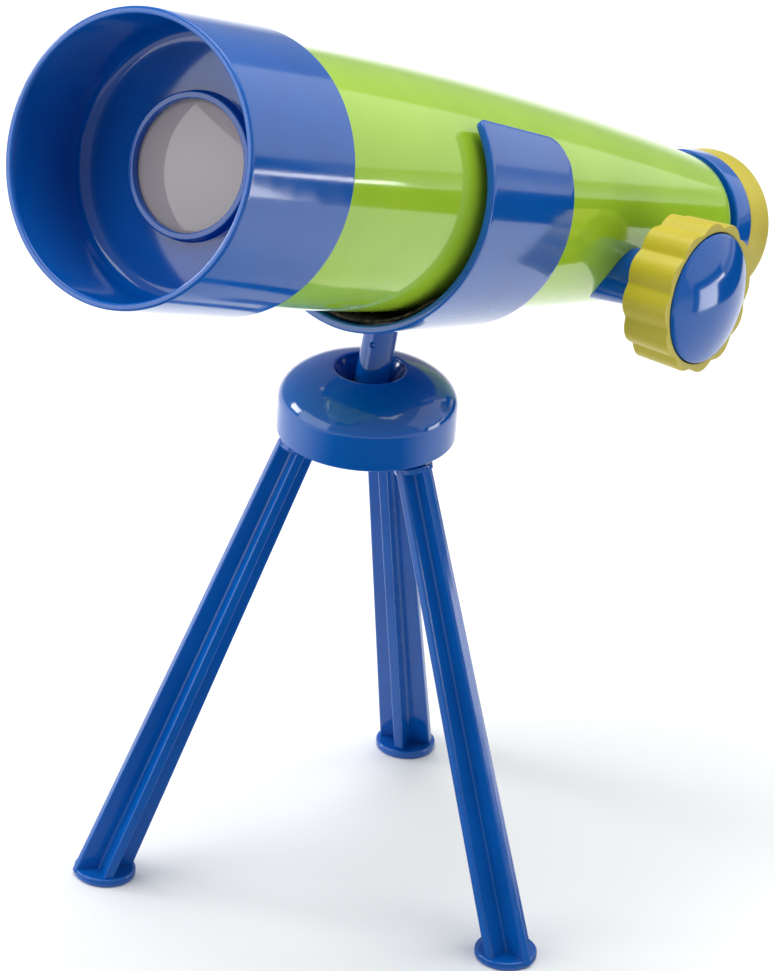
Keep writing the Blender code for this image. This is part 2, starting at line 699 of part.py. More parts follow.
def make_hub_screw(number, at, cover, base, root):
    """One screw, its column in the cover and its hole in the base plate."""
    column = (BASE_TOP + GAP, HUB_TOP - 5.0 * MM)
    radii = (COLUMN_RADIUS, COLUMN_RADIUS)
    cut(cover, upright(f"column_{number}", column, radii, root, segments=14, at=at), "UNION")
    bore = (BASE_BOTTOM, HUB_SHOULDER + 1.0 * MM)
    radii = (COLUMN_BORE, COLUMN_BORE)
    cut(cover, upright(f"column_bore_{number}", bore, radii, root, segments=12, at=at))
    hole = (BASE_BOTTOM - MM, BASE_TOP + MM)
    radii = (SCREW_HOLE, SCREW_HOLE)
    cut(base, upright(f"base_hole_{number}", hole, radii, root, segments=12, at=at))
    under = BASE_BOTTOM - GAP
    tip = HUB_SHOULDER - 1.0 * MM
    screw = [
        (0.0, tip),
        (SCREW_SHANK, tip),
        (SCREW_SHANK, under),
        (SCREW_HEAD, under),
        (SCREW_HEAD, under - 0.8 * MM),
        (SCREW_HEAD - 0.8 * MM, under - 1.4 * MM),
        (0.0, under - 1.4 * MM),
    ]
    place = Matrix.Translation((*at, 0.0))
    turned(f"hub_screw_{number}", screw, root, place, STEEL, steps=12, closed=False)


def make_hub(root):
    """The dome, its base plate, the ball's lower seat and the three screws."""
    cover = make_hub_cover(root)
    base = make_hub_base(root)
    for number, leg_azimuth in enumerate(LEG_AZIMUTHS, 1):
        azimuth = leg_azimuth + math.pi / len(LEG_AZIMUTHS)
        at = (SCREW_CIRCLE * math.cos(azimuth), SCREW_CIRCLE * math.sin(azimuth))
        make_hub_screw(number, at, cover, base, root)

    socket = BALL_RADIUS + GAP
    depths = [depth * MM for depth in (6.8, 5.0, 3.2, 1.4, 0.3)]
    seat = [(SEAT_RADIUS, BALL_HEIGHT - GAP), (SEAT_RADIUS, BALL_HEIGHT - depths[0])]
    seat += [(math.sqrt(socket**2 - depth**2), BALL_HEIGHT - depth) for depth in depths]
    turned("ball_seat", seat, root, None, BLACK)


def leg_point(azimuth, height):
    """A point on a leg's centre line."""
    reach = LEG_FOOT + (LEG_TOP - LEG_FOOT) * height / HUB_BOTTOM
    return (reach * math.cos(azimuth), reach * math.sin(azimuth), height)


def tapered_rib(name, across, length, parent, matrix, material=None):
    """A flat rib along Z that widens downwards; across is the axis that it spans."""
    mesh = bpy.data.meshes.new(name)
    build = bmesh.new()
    bmesh.ops.create_cube(build, size=1.0)
    for vertex in build.verts:
        width = RIB_WIDTH_TOP if vertex.co.z > 0.0 else RIB_WIDTH_FOOT
        thin = RIB_THICKNESS
        vertex.co.x *= width if across == "X" else thin
        vertex.co.y *= width if across == "Y" else thin
        vertex.co.z = (vertex.co.z - 0.5) * length
    build.to_mesh(mesh)
    build.free()
    return make_object(name, mesh, parent, matrix, material)


def make_leg(name, azimuth, root):
    """A leg of cross-shaped section, with its peg and collar above and a round pad below."""
    collar = Vector(leg_point(azimuth, COLLAR_HEIGHT))
    up = (Vector(leg_point(azimuth, HUB_BOTTOM)) - Vector(leg_point(azimuth, 0.0))).normalized()
    outward = Vector((math.cos(azimuth), math.sin(azimuth), 0.0))
    side = up.cross(outward).normalized()
    radial = side.cross(up)
    axes = Matrix((radial, side, up)).transposed().to_4x4()
    place = Matrix.Translation(collar) @ axes
    length = collar.z / up.z + RIB_OVERRUN
    leg = tapered_rib(name, "X", length, root, place, BLUE)
    cut(leg, tapered_rib(f"{name}_cross_rib", "Y", length, root, place), "UNION")
    reach = 2.0 * LEG_FOOT
    floor = box((-reach, -reach, -12.0 * MM), (reach, reach, MM), f"{name}_floor", root)
    cut(leg, floor)
    half = up * COLLAR_HALF
    radii = (COLLAR_RADIUS, COLLAR_RADIUS)
    cut(leg, along(collar - half, collar + half, *radii, f"{name}_collar", root), "UNION")
    tip = collar + up * PEG_LENGTH
    peg = along(collar, tip, PEG_RADIUS, PEG_RADIUS, f"{name}_peg", root, segments=20)
    cut(leg, peg, "UNION")
    centre = outward * FOOT_CIRCLE
    pad = turned(
        f"{name}_pad",
        [(0.0, PAD_HEIGHT), (PAD_RADIUS - 0.6 * MM, PAD_HEIGHT), (PAD_RADIUS, PAD_HEIGHT - 0.6 * MM)]
        + [(PAD_RADIUS, 0.5 * MM), (PAD_RADIUS - 0.5 * MM, 0.0), (0.0, 0.0)],
        root,
        Matrix.Translation(centre),
        steps=32,
        closed=False,
    )
    cut(leg, pad, "UNION")


def frame_shift():
    """Moves the hub's axis so that the object's box is centred over the origin."""
    xs = [FOOT_CIRCLE * math.cos(azimuth) for azimuth in LEG_AZIMUTHS]
    front = min(z * math.cos(TUBE_PITCH) - r * math.sin(TUBE_PITCH) for r, z in hood_profile())
    rear = max(z * math.cos(TUBE_PITCH) + r * math.sin(TUBE_PITCH) for r, z in eyecup_profile())
    return Vector((-(min(xs) + max(xs)) / 2, -(front + rear) / 2, 0.0))


def post_length():
    """Distance from the ball's centre to the cradle's outer face along the leaning post."""
    step = 0.01 * MM
    length = BALL_RADIUS
    while True:
        y = length * math.sin(POST_LEAN)
        z = BALL_HEIGHT + length * math.cos(POST_LEAN) - TUBE_HEIGHT
        station = y * math.cos(TUBE_PITCH) - z * math.sin(TUBE_PITCH)
        down = -y * math.sin(TUBE_PITCH) - z * math.cos(TUBE_PITCH)
        if down - CRADLE_DROP < cradle_radius(station):
            return length
        length += step


def shade_smooth():
    for part in PARTS.objects:
        if part.type == "MESH" and part.data.polygons:
            part.data.shade_smooth()
            part.data.set_sharp_from_angle(angle=math.radians(35.0))


def main():
    root = make_empty("telescope_on_tripod", Matrix.Translation(frame_shift()))
    axis_turn = Matrix.Rotation(-(math.pi / 2 + TUBE_PITCH), 4, "X")
    cradle_frame = make_empty("cradle_frame", Matrix.Translation((0.0, 0.0, TUBE_HEIGHT)) @ axis_turn, root)
    tube_frame = make_empty("tube_frame", Matrix.Rotation(-TUBE_ROLL, 4, "Z"), cradle_frame)
    lean = Matrix.Rotation(-POST_LEAN, 4, "X")
    post_frame = make_empty("post_frame", Matrix.Translation((0.0, 0.0, BALL_HEIGHT)) @ lean, root)

    make_optics(tube_frame)
    make_body_tube(tube_frame)
    make_eyepiece(tube_frame)
    make_focuser(tube_frame)
    make_knob(tube_frame)
    make_cradle(cradle_frame, post_frame)
    make_post(cradle_frame, post_frame)
    make_hub(root)
    for name, azimuth in zip(LEG_NAMES, LEG_AZIMUTHS):
        make_leg(name, azimuth, root)
    shade_smooth()


clear_scene()
PARTS = make_collection("telescope_on_tripod")
CUTTERS = make_collection("cutters")
BLUE = make_material("blue_plastic", (0.007, 0.093, 0.392), 0.18)
GREEN = make_material("green_plastic", (0.262, 0.578, 0.033), 0.15)
YELLOW = make_material("yellow_plastic", (0.546, 0.472, 0.039), 0.35)
BLACK = make_material("black_plastic", (0.012, 0.012, 0.013), 0.5)
WHITE = make_material("nylon", (0.75, 0.73, 0.68), 0.4)
STEEL = make_material("steel", (0.55, 0.55, 0.56), 0.3, 1.0)
GLASS = make_material("glass", (0.85, 0.87, 0.86), 0.03, 0.0, 0.9)
POST_TOP = post_length()
main()
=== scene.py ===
"""A child's telescope on a small tripod: finished surfaces, materials, light and camera.

Units are metres and +Z is up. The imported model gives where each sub-assembly sits. The telescope
is shaped on its own axis: X to the focus knob, Y down, Z to the eyepiece, station 0 over the clip.
"""

import json
import logging
import math
from collections.abc import Callable, Sequence
from dataclasses import dataclass, field
from enum import Enum
from typing import Any

import bmesh
import bpy
from mathutils import Matrix, Vector, noise

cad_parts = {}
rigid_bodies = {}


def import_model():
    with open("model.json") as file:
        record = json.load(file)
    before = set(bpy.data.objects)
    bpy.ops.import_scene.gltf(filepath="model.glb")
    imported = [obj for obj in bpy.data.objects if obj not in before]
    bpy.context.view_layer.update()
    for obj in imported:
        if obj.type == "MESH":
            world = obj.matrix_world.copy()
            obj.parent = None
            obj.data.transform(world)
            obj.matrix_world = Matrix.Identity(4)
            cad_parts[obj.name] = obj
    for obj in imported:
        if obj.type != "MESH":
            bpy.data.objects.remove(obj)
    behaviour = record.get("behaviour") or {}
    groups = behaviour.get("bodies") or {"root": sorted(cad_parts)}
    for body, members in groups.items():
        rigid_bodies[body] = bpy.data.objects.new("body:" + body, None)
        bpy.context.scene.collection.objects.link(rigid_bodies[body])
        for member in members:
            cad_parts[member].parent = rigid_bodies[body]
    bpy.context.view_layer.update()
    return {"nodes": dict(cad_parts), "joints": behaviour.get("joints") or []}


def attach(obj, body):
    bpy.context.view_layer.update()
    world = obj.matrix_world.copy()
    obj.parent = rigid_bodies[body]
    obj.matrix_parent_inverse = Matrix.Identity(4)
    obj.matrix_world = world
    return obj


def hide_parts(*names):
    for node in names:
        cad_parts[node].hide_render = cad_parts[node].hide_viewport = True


LOG = logging.getLogger("telescope")
MM = 0.001
TURN_STEPS = 160  # faces round a turned piece

Outline = list[tuple[float, float]]


class Body(Enum):
    """The bodies that move on their own."""

    HUB = "hub"
    SEAT = "pan_seat"
    BALL = "ball"
    MOUNT = "mount"
    TELESCOPE = "telescope"
    FOCUS = "focus_drive"
    EYEPIECE = "eyepiece"
    LEG_LEFT = "leg_front_left"
    LEG_RIGHT = "leg_right"
    LEG_REAR = "leg_rear"


class Slot(Enum):
    """The record's material slots."""

    BLUE = "blue_plastic"
    GREEN = "green_plastic"
    YELLOW = "yellow_plastic"
    BLACK = "black_plastic"
    NYLON = "nylon"
    FOAM = "foam"
    STEEL = "steel"
    LENS = "lens"


# ---------------------------------------------------------------- materials


def linear(hex_colour: str) -> tuple[float, float, float, float]:
    """Turns an sRGB hex colour to linear red, green, blue and alpha.

    Args:
        hex_colour: Six hex digits after a hash, such as "#0B55AC".

    Returns:
        The linear colour, with alpha 1.
    """
    shares = [int(hex_colour[k : k + 2], 16) / 255 for k in (1, 3, 5)]
    red, green, blue = (s / 12.92 if s <= 0.04045 else ((s + 0.055) / 1.055) ** 2.4 for s in shares)
    return red, green, blue, 1.0


def add_node(
    tree: bpy.types.NodeTree,
    kind: str,
    settings: dict[str | int, Any] | None = None,
    links: dict[str | int, bpy.types.NodeSocket] | None = None,
) -> bpy.types.Node:
    """Adds a node with its settings and links.

    Args:
        tree: The node tree that it goes in.
        kind: The node's type name.
        settings: Values, each by an input socket's name or number, or else a property's name.
        links: The socket that feeds each input, by the input's name or number.

    Returns:
        The new node.
    """
    node = tree.nodes.new(kind)
    for name, value in (settings or {}).items():
        if isinstance(name, int) or name in node.inputs:
            node.inputs[name].default_value = value
        else:
            setattr(node, name, value)
    for name, source in (links or {}).items():
        tree.links.new(source, node.inputs[name])
    return node


def new_material(name: str) -> tuple[bpy.types.Material, bpy.types.NodeTree, bpy.types.Node]:
    """Makes a material that holds one Principled shader.

    Args:
        name: What the material is.

    Returns:
        The material, its tree and its shader.
    """
    made = bpy.data.materials.new(name)
    made.use_nodes = True
    return made, made.node_tree, made.node_tree.nodes["Principled BSDF"]


def per_metre(size_mm: float) -> float:
    """Gives the texture scale at which one pattern cell is size_mm across."""
    return 1.0 / (size_mm * MM)


@dataclass(frozen=True)
class MouldedPlastic:
    """Injection-moulded plastic: even colour, and a skin as smooth as its mould.

    A polished mould leaves a mirror-like skin with a faint orange peel, which makes long soft
    reflections waver. A spark-eroded mould leaves a fine grain, which dulls them.
    """

    name: str
    colour: str
    deep: str  # the slightly darker tone that pigment streaks have
    roughness: float
    wear: float = 0.05  # how much handling changes the roughness
    ior: float = 1.53
    coat: float = 0.0
    peel_mm: float = 7.0
    peel_depth_mm: float = 0.012
    grain_mm: float = 0.0
    grain_depth_mm: float = 0.0

    def material(self) -> bpy.types.Material:
        """Builds the material.

        Returns:
            The material.
        """
        made, tree, shader = new_material(self.name)
        place = add_node(tree, "ShaderNodeTexCoord").outputs["Object"]
        streaks = add_node(
            tree,
            "ShaderNodeTexNoise",
            {"Scale": per_metre(26.0), "Detail": 3.0, "Roughness": 0.55},
            {"Vector": place},
        )
        tint = add_node(
            tree,
            "ShaderNodeValToRGB",
            links={"Fac": streaks.outputs["Fac"]},
        )
        tint.color_ramp.elements[0].position = 0.35
        tint.color_ramp.elements[0].color = linear(self.deep)
        tint.color_ramp.elements[1].position = 0.65
        tint.color_ramp.elements[1].color = linear(self.colour)
        tree.links.new(tint.outputs["Color"], shader.inputs["Base Color"])

        smudges = add_node(
            tree,
            "ShaderNodeTexNoise",
            {"Scale": per_metre(11.0), "Detail": 5.0, "Roughness": 0.6, "Distortion": 0.4},
            {"Vector": place},
        )
        rough = add_node(
            tree,
            "ShaderNodeMapRange",
            {
                "From Min": 0.35,
                "From Max": 0.75,
                "To Min": self.roughness,
                "To Max": self.roughness + self.wear,
            },
            {"Value": smudges.outputs["Fac"]},
        )
        tree.links.new(rough.outputs["Result"], shader.inputs["Roughness"])

        peel = add_node(
            tree,
            "ShaderNodeTexNoise",
            {"Scale": per_metre(self.peel_mm), "Detail": 1.0},
            {"Vector": place},
        )
        bump = add_node(
            tree,
            "ShaderNodeBump",
            {"Strength": 1.0, "Distance": self.peel_depth_mm * MM},
            {"Height": peel.outputs["Fac"]},
        )
        if self.grain_mm:
            grain = add_node(
                tree,
                "ShaderNodeTexNoise",
                {"Scale": per_metre(self.grain_mm), "Detail": 2.0, "Roughness": 0.7},
                {"Vector": place},
            )
            bump = add_node(
                tree,
                "ShaderNodeBump",
                {"Strength": 1.0, "Distance": self.grain_depth_mm * MM},
                {"Height": grain.outputs["Fac"], "Normal": bump.outputs["Normal"]},
            )
        tree.links.new(bump.outputs["Normal"], shader.inputs["Normal"])
        shader.inputs["IOR"].default_value = self.ior
        shader.inputs["Coat Weight"].default_value = self.coat
        shader.inputs["Coat Roughness"].default_value = 0.03
        return made


@dataclass(frozen=True)
class CellFoam:
    """Open-cell foam rubber: near black, with rusty flecks, and matt because its skin is all pores."""

    name: str = "open-cell foam rubber"
    dark: str = "#0E0B0A"
    fleck: str = "#5A4630"
    pore_mm: float = 0.9

    def material(self) -> bpy.types.Material:
        """Builds the material.

        Returns:
            The material.
        """
        made, tree, shader = new_material(self.name)
        place = add_node(tree, "ShaderNodeTexCoord").outputs["Object"]
        pores = add_node(
            tree, "ShaderNodeTexVoronoi", {"Scale": per_metre(self.pore_mm)}, {"Vector": place}
        )
        flecks = add_node(
            tree,
            "ShaderNodeTexNoise",
            {"Scale": per_metre(1.6), "Detail": 4.0, "Roughness": 0.7},
            {"Vector": place},
        )
        tint = add_node(tree, "ShaderNodeValToRGB", links={"Fac": flecks.outputs["Fac"]})
        tint.color_ramp.elements[0].position = 0.45
        tint.color_ramp.elements[0].color = linear(self.dark)
        tint.color_ramp.elements[1].position = 0.72
        tint.color_ramp.elements[1].color = linear(self.fleck)
        bump = add_node(
            tree,
            "ShaderNodeBump",
            {"Strength": 1.0, "Distance": 0.35 * MM},
            {"Height": pores.outputs["Distance"]},
        )
        tree.links.new(tint.outputs["Color"], shader.inputs["Base Color"])
        tree.links.new(bump.outputs["Normal"], shader.inputs["Normal"])
        shader.inputs["Roughness"].default_value = 0.88
        return made


@dataclass(frozen=True)
class LensWithPaintedGreyLight:
    """Moulded acrylic lens, polished. Its warm grey, mostly diffuse colour is painted light: it stands in for
    the light seen in and through the clear lens.
    """

    name: str = "polished moulded acrylic"
    # Painted light: the warm grey and the low clearness stand in for the light seen in and through the lens.
    colour: str = "#C9BDB6"
    clearness: float = 0.12
    ior: float = 1.49

    def material(self) -> bpy.types.Material:
        """Builds the material.

        Returns:
            The material.
        """
        made, tree, shader = new_material(self.name)
        place = add_node(tree, "ShaderNodeTexCoord").outputs["Object"]
        flow = add_node(
            tree, "ShaderNodeTexNoise", {"Scale": per_metre(9.0), "Detail": 2.0}, {"Vector": place}
        )
        rough = add_node(
            tree,
            "ShaderNodeMapRange",
            {"From Min": 0.3, "From Max": 0.7, "To Min": 0.015, "To Max": 0.04},
            {"Value": flow.outputs["Fac"]},
        )
        bump = add_node(
            tree,
            "ShaderNodeBump",
            {"Strength": 1.0, "Distance": 0.004 * MM},
            {"Height": flow.outputs["Fac"]},
        )
        tree.links.new(rough.outputs["Result"], shader.inputs["Roughness"])
        tree.links.new(bump.outputs["Normal"], shader.inputs["Normal"])
        shader.inputs["Base Color"].default_value = linear(self.colour)
        shader.inputs["Transmission Weight"].default_value = self.clearness
        shader.inputs["IOR"].default_value = self.ior
        return made


@dataclass(frozen=True)
class PlatedSteel:
    """Zinc-plated steel: a bright grey metal with fine rings from turning or rolling."""

    name: str = "zinc-plated steel"
    colour: str = "#B9BCC0"
    roughness: float = 0.28
    ring_mm: float = 0.25

    def material(self) -> bpy.types.Material:
        """Builds the material.

        Returns:
            The material.
        """
        made, tree, shader = new_material(self.name)
        place = add_node(tree, "ShaderNodeTexCoord").outputs["Object"]
        rings = add_node(
            tree,
            "ShaderNodeTexNoise",
            {"Scale": per_metre(self.ring_mm), "Detail": 2.0},
            {"Vector": place},
        )
        rough = add_node(
            tree,
            "ShaderNodeMapRange",
            {"To Min": self.roughness, "To Max": self.roughness + 0.15},
            {"Value": rings.outputs["Fac"]},
        )
        tree.links.new(rough.outputs["Result"], shader.inputs["Roughness"])
        shader.inputs["Base Color"].default_value = linear(self.colour)
        shader.inputs["Metallic"].default_value = 1.0
        return made


@dataclass(frozen=True)
class MattPaper:
    """Seamless background paper: pale, matt and slightly fibrous."""

    name: str = "seamless background paper"
    colour: str = "#F4F4F4"

    def material(self) -> bpy.types.Material:
        """Builds the material.

        Returns:
            The material.
        """
        made, tree, shader = new_material(self.name)
        place = add_node(tree, "ShaderNodeTexCoord").outputs["Object"]
        fibre = add_node(tree, "ShaderNodeTexNoise", {"Scale": per_metre(1.2)}, {"Vector": place})
        bump = add_node(
            tree,
            "ShaderNodeBump",
            {"Strength": 0.2, "Distance": 0.05 * MM},
            {"Height": fibre.outputs["Fac"]},
        )
        tree.links.new(bump.outputs["Normal"], shader.inputs["Normal"])
        shader.inputs["Base Color"].default_value = linear(self.colour)
        shader.inputs["Roughness"].default_value = 0.9
        shader.inputs["Specular IOR Level"].default_value = 0.1
        return made


@dataclass
class Finishes:
    """Every finish on the object, built once."""

    blue: bpy.types.Material = field(init=False)
    green: bpy.types.Material = field(init=False)
    yellow: bpy.types.Material = field(init=False)
    black: bpy.types.Material = field(init=False)
    nylon: bpy.types.Material = field(init=False)
    foam: bpy.types.Material = field(init=False)
    steel: bpy.types.Material = field(init=False)
    lens: bpy.types.Material = field(init=False)

    def __post_init__(self) -> None:
        """Builds the materials."""
        # Polished ABS, so the blue and green pieces mirror the studio in long soft bands.
        self.blue = MouldedPlastic(
            "moulded gloss ABS, royal blue", "#045CB4", "#0456AB", 0.09, coat=0.15
        ).material()
        self.green = MouldedPlastic(
            "moulded gloss ABS, lime green", "#A8D235", "#A2CD31", 0.07, coat=0.2
        ).material()
        # A spark-eroded mould gives the grips a satin skin, so the yellow shows broad soft lights.
        self.yellow = MouldedPlastic(
            "moulded satin polypropylene, mustard yellow",
            "#C9BA30",
            "#BFAF2A",
            0.36,
            ior=1.49,
            grain_mm=0.5,
            grain_depth_mm=0.02,
        ).material()
        self.black = MouldedPlastic(
            "moulded black ABS, fine grain", "#141415", "#0F0F10", 0.45, grain_mm=0.4, grain_depth_mm=0.02
        ).material()
        self.nylon = MouldedPlastic(
            "natural acetal", "#E6E1D6", "#DDD7CA", 0.35, ior=1.48
        ).material()
        self.foam = CellFoam().material()
        self.steel = PlatedSteel().material()
        # The lenses wear painted grey light in place of what is seen in and through them.
        self.lens = LensWithPaintedGreyLight().material()

    def for_slot(self, slot: Slot) -> bpy.types.Material:
        """Gives the material that a record slot takes."""
        return {
            Slot.BLUE: self.blue,
            Slot.GREEN: self.green,
            Slot.YELLOW: self.yellow,
            Slot.BLACK: self.black,
            Slot.NYLON: self.nylon,
            Slot.FOAM: self.foam,
            Slot.STEEL: self.steel,
            Slot.LENS: self.lens,
        }[slot]


# ---------------------------------------------------------------- mesh work


def softened(corners: Sequence[tuple[float, ...]], closed: bool = True, steps: int = 6) -> Outline:
    """Rounds an outline's corners.

    Args:
        corners: (x, y) or (x, y, fillet) for each corner; no fillet keeps the corner as it is.
        closed: Whether the last corner joins the first.
        steps: Straight pieces in each round corner.

    Returns:
        The outline's points, with one more each side of a round corner to keep the flats flat.
    """
    points: list[Vector] = []
    for index, corner in enumerate(corners):
        here = Vector(corner[:2])
        fillet = corner[2] if len(corner) > 2 else 0.0
        if not fillet or (not closed and index in (0, len(corners) - 1)):
            points.append(here)
            continue
        before = Vector(corners[index - 1][:2]) - here
        after = Vector(corners[(index + 1) % len(corners)][:2]) - here
        room = 0.42 * min(before.length, after.length)
        trim = min(fillet / math.tan(before.angle(after) / 2), room)
        back, ahead = before.normalized(), after.normalized()
        hold = min(0.12 * MM, 0.06 * min(before.length, after.length))
        points.append(here + back * (trim + hold))
        for k in range(steps + 1):
            t = k / steps
            bend = (here + back * trim) * (1 - t) ** 2 + here * (2 * t * (1 - t))
            points.append(bend + (here + ahead * trim) * t**2)
        points.append(here + ahead * (trim + hold))
    return [(point.x, point.y) for point in points]


def curve_points(rule: Callable[[float], tuple[float, float]], count: int) -> Outline:
    """Samples a rule at count + 1 even shares from 0 to 1."""
    return [rule(k / count) for k in range(count + 1)]


def to_mesh(build: bmesh.types.BMesh, name: str, place: Matrix) -> bpy.types.Mesh:
    """Puts a built mesh in place, smooth with its hard edges kept.

    Args:
        build: The mesh being built, which is freed.
        name: The mesh's name.
        place: Where it goes.

    Returns:
        The mesh.
    """
    bmesh.ops.recalc_face_normals(build, faces=build.faces)
    build.transform(place)
    made = bpy.data.meshes.new(name)
    build.to_mesh(made)
    build.free()
    return smoothed(made)


def smoothed(mesh: bpy.types.Mesh) -> bpy.types.Mesh:
    """Shades a mesh smooth, except over its hard edges.

    Args:
        mesh: The mesh that is worked on.

    Returns:
        The mesh, standing in place.
    """
    mesh.shade_smooth()
    mesh.set_sharp_from_angle(angle=math.radians(32.0))
    return mesh


def turned(
    name: str, outline: Outline, place: Matrix, closed: bool = True, steps: int = TURN_STEPS
) -> bpy.types.Mesh:
    """Turns an outline about the Z axis of its place.

    Args:
        name: The mesh's name.
        outline: (radius, height) points.
        place: Where the axis goes.
        closed: Whether the last point joins the first; otherwise both ends are on the axis.
        steps: Faces round the axis.

    Returns:
        The closed mesh.
    """
    build = bmesh.new()
    rings = []
    for radius, height in outline:
        around = steps if radius > 1e-7 else 1
        angles = [2 * math.pi * k / around for k in range(around)]
        rings.append(
            [build.verts.new((radius * math.cos(a), radius * math.sin(a), height)) for a in angles]
        )
    pairs = list(zip(rings, rings[1:]))
    if closed:
        pairs.append((rings[-1], rings[0]))
    for upper, lower in pairs:
        for k in range(steps):
            places = ((upper, k), (lower, k), (lower, k + 1), (upper, k + 1))
            unique = list(dict.fromkeys(ring[j % len(ring)] for ring, j in places))
            if len(unique) > 2:
                build.faces.new(unique)
    return to_mesh(build, name, place)


def joined(name: str, meshes: Sequence[bpy.types.Mesh]) -> bpy.types.Mesh:
    """Puts several meshes in one, each still a closed body.

    Args:
        name: The new mesh's name.
        meshes: The meshes, which are removed.

    Returns:
        The new mesh.
    """
    build = bmesh.new()
    for mesh in meshes:
        build.from_mesh(mesh)
        bpy.data.meshes.remove(mesh)
    made = bpy.data.meshes.new(name)
    build.to_mesh(made)
    build.free()
    return smoothed(made)


def on_bench(name: str, mesh: bpy.types.Mesh) -> bpy.types.Object:
    """Makes an object to work on, which isn't a piece yet.

    Args:
        name: What the mesh is called.
        mesh: The mesh that is worked on.

    Returns:
        The object.
    """
    made = bpy.data.objects.new(name, mesh)
    bpy.context.scene.collection.objects.link(made)
    return made


def off_bench(worked: bpy.types.Object, name: str) -> bpy.types.Mesh:
    """Takes an object's finished mesh and removes the object.

    Args:
        worked: The object, with its modifiers.
        name: The finished mesh's name.

    Returns:
        The mesh with the modifiers applied.
    """
    graph = bpy.context.evaluated_depsgraph_get()
    made = bpy.data.meshes.new_from_object(worked.evaluated_get(graph), depsgraph=graph)
    made.name = name
    bpy.data.objects.remove(worked)
    return made


def cut(mesh: bpy.types.Mesh, *tools: bpy.types.Mesh) -> bpy.types.Mesh:
    """Cuts tools out of a mesh.

    Args:
        mesh: The mesh that is cut.
        tools: Closed meshes, which are removed.

    Returns:
        The cut mesh.
    """
    name = mesh.name
    worked = on_bench(name, mesh)
    helpers = [on_bench(tool.name, tool) for tool in tools]
    for helper in helpers:
        modifier = worked.modifiers.new(helper.name, "BOOLEAN")
        modifier.operation = "DIFFERENCE"
        modifier.object = helper
        modifier.solver = "EXACT"
    made = off_bench(worked, name)
    for helper in helpers:
        bpy.data.objects.remove(helper)
    return smoothed(made)


def rod(name: str, low: float, high: float, radius: float, place: Matrix, steps: int = 48) -> bpy.types.Mesh:
    """Makes a plain round bar along the Z axis of its place."""
    outline = [(0.0, low), (radius, low), (radius, high), (0.0, high)]
    return turned(name, outline, place, closed=False, steps=steps)


@dataclass
class RuleTree:
    """A Geometry Nodes tree with named inputs, which shapes one kind of thing."""

    name: str
    inputs: dict[str, str]  # name to socket type
    tree: bpy.types.NodeTree = field(init=False)
    source: bpy.types.Node = field(init=False)

    def __post_init__(self) -> None:
        """Makes the empty tree with its sockets."""
        self.tree = bpy.data.node_groups.new(self.name, "GeometryNodeTree")
        face = self.tree.interface
        face.new_socket("Geometry", in_out="OUTPUT", socket_type="NodeSocketGeometry")
        face.new_socket("Geometry", in_out="INPUT", socket_type="NodeSocketGeometry")
        for name, kind in {**self.inputs, "Material": "NodeSocketMaterial"}.items():
            face.new_socket(name, in_out="INPUT", socket_type=kind)
        self.source = add_node(self.tree, "NodeGroupInput")

    def input(self, name: str) -> bpy.types.NodeSocket:
        """Gives the socket of a named input."""
        return self.source.outputs[name]

    def work_out(
        self, known: dict[str, bpy.types.NodeSocket], sums: Sequence[tuple[Any, ...]]
    ) -> dict[str, bpy.types.NodeSocket]:
        """Works through a list of sums.

        Args:
            known: What the sums start from besides the tree's inputs, by name.
            sums: A result's name, its operation and its operands, which are names or numbers.

        Returns:
            The socket of everything known at the end, by name.
        """
        found = {name: self.input(name) for name in self.inputs} | known
        for result, operation, *operands in sums:
            settings: dict[str | int, Any] = {"operation": operation}
            links = {}
            for index, operand in enumerate(operands):
                if isinstance(operand, str):
                    links[index] = found[operand]
                else:
                    settings[index] = operand
            found[result] = add_node(self.tree, "ShaderNodeMath", settings, links).outputs[0]
        return found

    def close(self, geometry: bpy.types.NodeSocket) -> None:
        """Ends the tree: instances made real, smooth, and in their material."""
        smooth = add_node(self.tree, "GeometryNodeSetShadeSmooth", links={"Geometry": geometry})
        real = add_node(
            self.tree, "GeometryNodeRealizeInstances", links={"Geometry": smooth.outputs[0]}
        )
        dressed = add_node(
            self.tree,
            "GeometryNodeSetMaterial",
            links={"Geometry": real.outputs[0], "Material": self.input("Material")},
        )
        add_node(self.tree, "NodeGroupOutput", links={"Geometry": dressed.outputs[0]})

    def grow(self, name: str, values: dict[str, Any], start: bpy.types.Mesh | None = None) -> bpy.types.Mesh:
        """Runs the tree.

        Args:
            name: The finished mesh's name.
            values: A value for each named input.
            start: The mesh that goes in, if the tree takes one.

        Returns:
            The plain mesh that comes out.
        """
        worked = on_bench(name, start or bpy.data.meshes.new(name))
        modifier = worked.modifiers.new(self.name, "NODES")
        modifier.node_group = self.tree
        identifiers = {
            item.name: item.identifier
            for item in self.tree.interface.items_tree
            if item.item_type == "SOCKET" and item.in_out == "INPUT"
        }
        for key, value in values.items():
            modifier[identifiers[key]] = value
        worked.update_tag()
        return off_bench(worked, name)


def copies_round_axis() -> RuleTree:
    """Makes the tree that sets copies of a thing on a circle about Z, each upright."""
    rule = RuleTree(
        "copies round an axis",
        {
            "Thing": "NodeSocketObject",
            "Count": "NodeSocketInt",
            "Radius": "NodeSocketFloat",
            "Start": "NodeSocketFloat",
        },
    )
    ring = add_node(
        rule.tree,
        "GeometryNodeMeshCircle",
        links={"Vertices": rule.input("Count"), "Radius": rule.input("Radius")},
    )
    turn = add_node(rule.tree, "ShaderNodeCombineXYZ", links={"Z": rule.input("Start")})
    turned_ring = add_node(
        rule.tree,
        "GeometryNodeTransform",
        links={"Geometry": ring.outputs[0], "Rotation": turn.outputs[0]},
    )
    thing = add_node(rule.tree, "GeometryNodeObjectInfo", links={"Object": rule.input("Thing")})
    placed = add_node(
        rule.tree,
        "GeometryNodeInstanceOnPoints",
        links={"Points": turned_ring.outputs[0], "Instance": thing.outputs["Geometry"]},
    )
    rule.close(placed.outputs[0])
    return rule


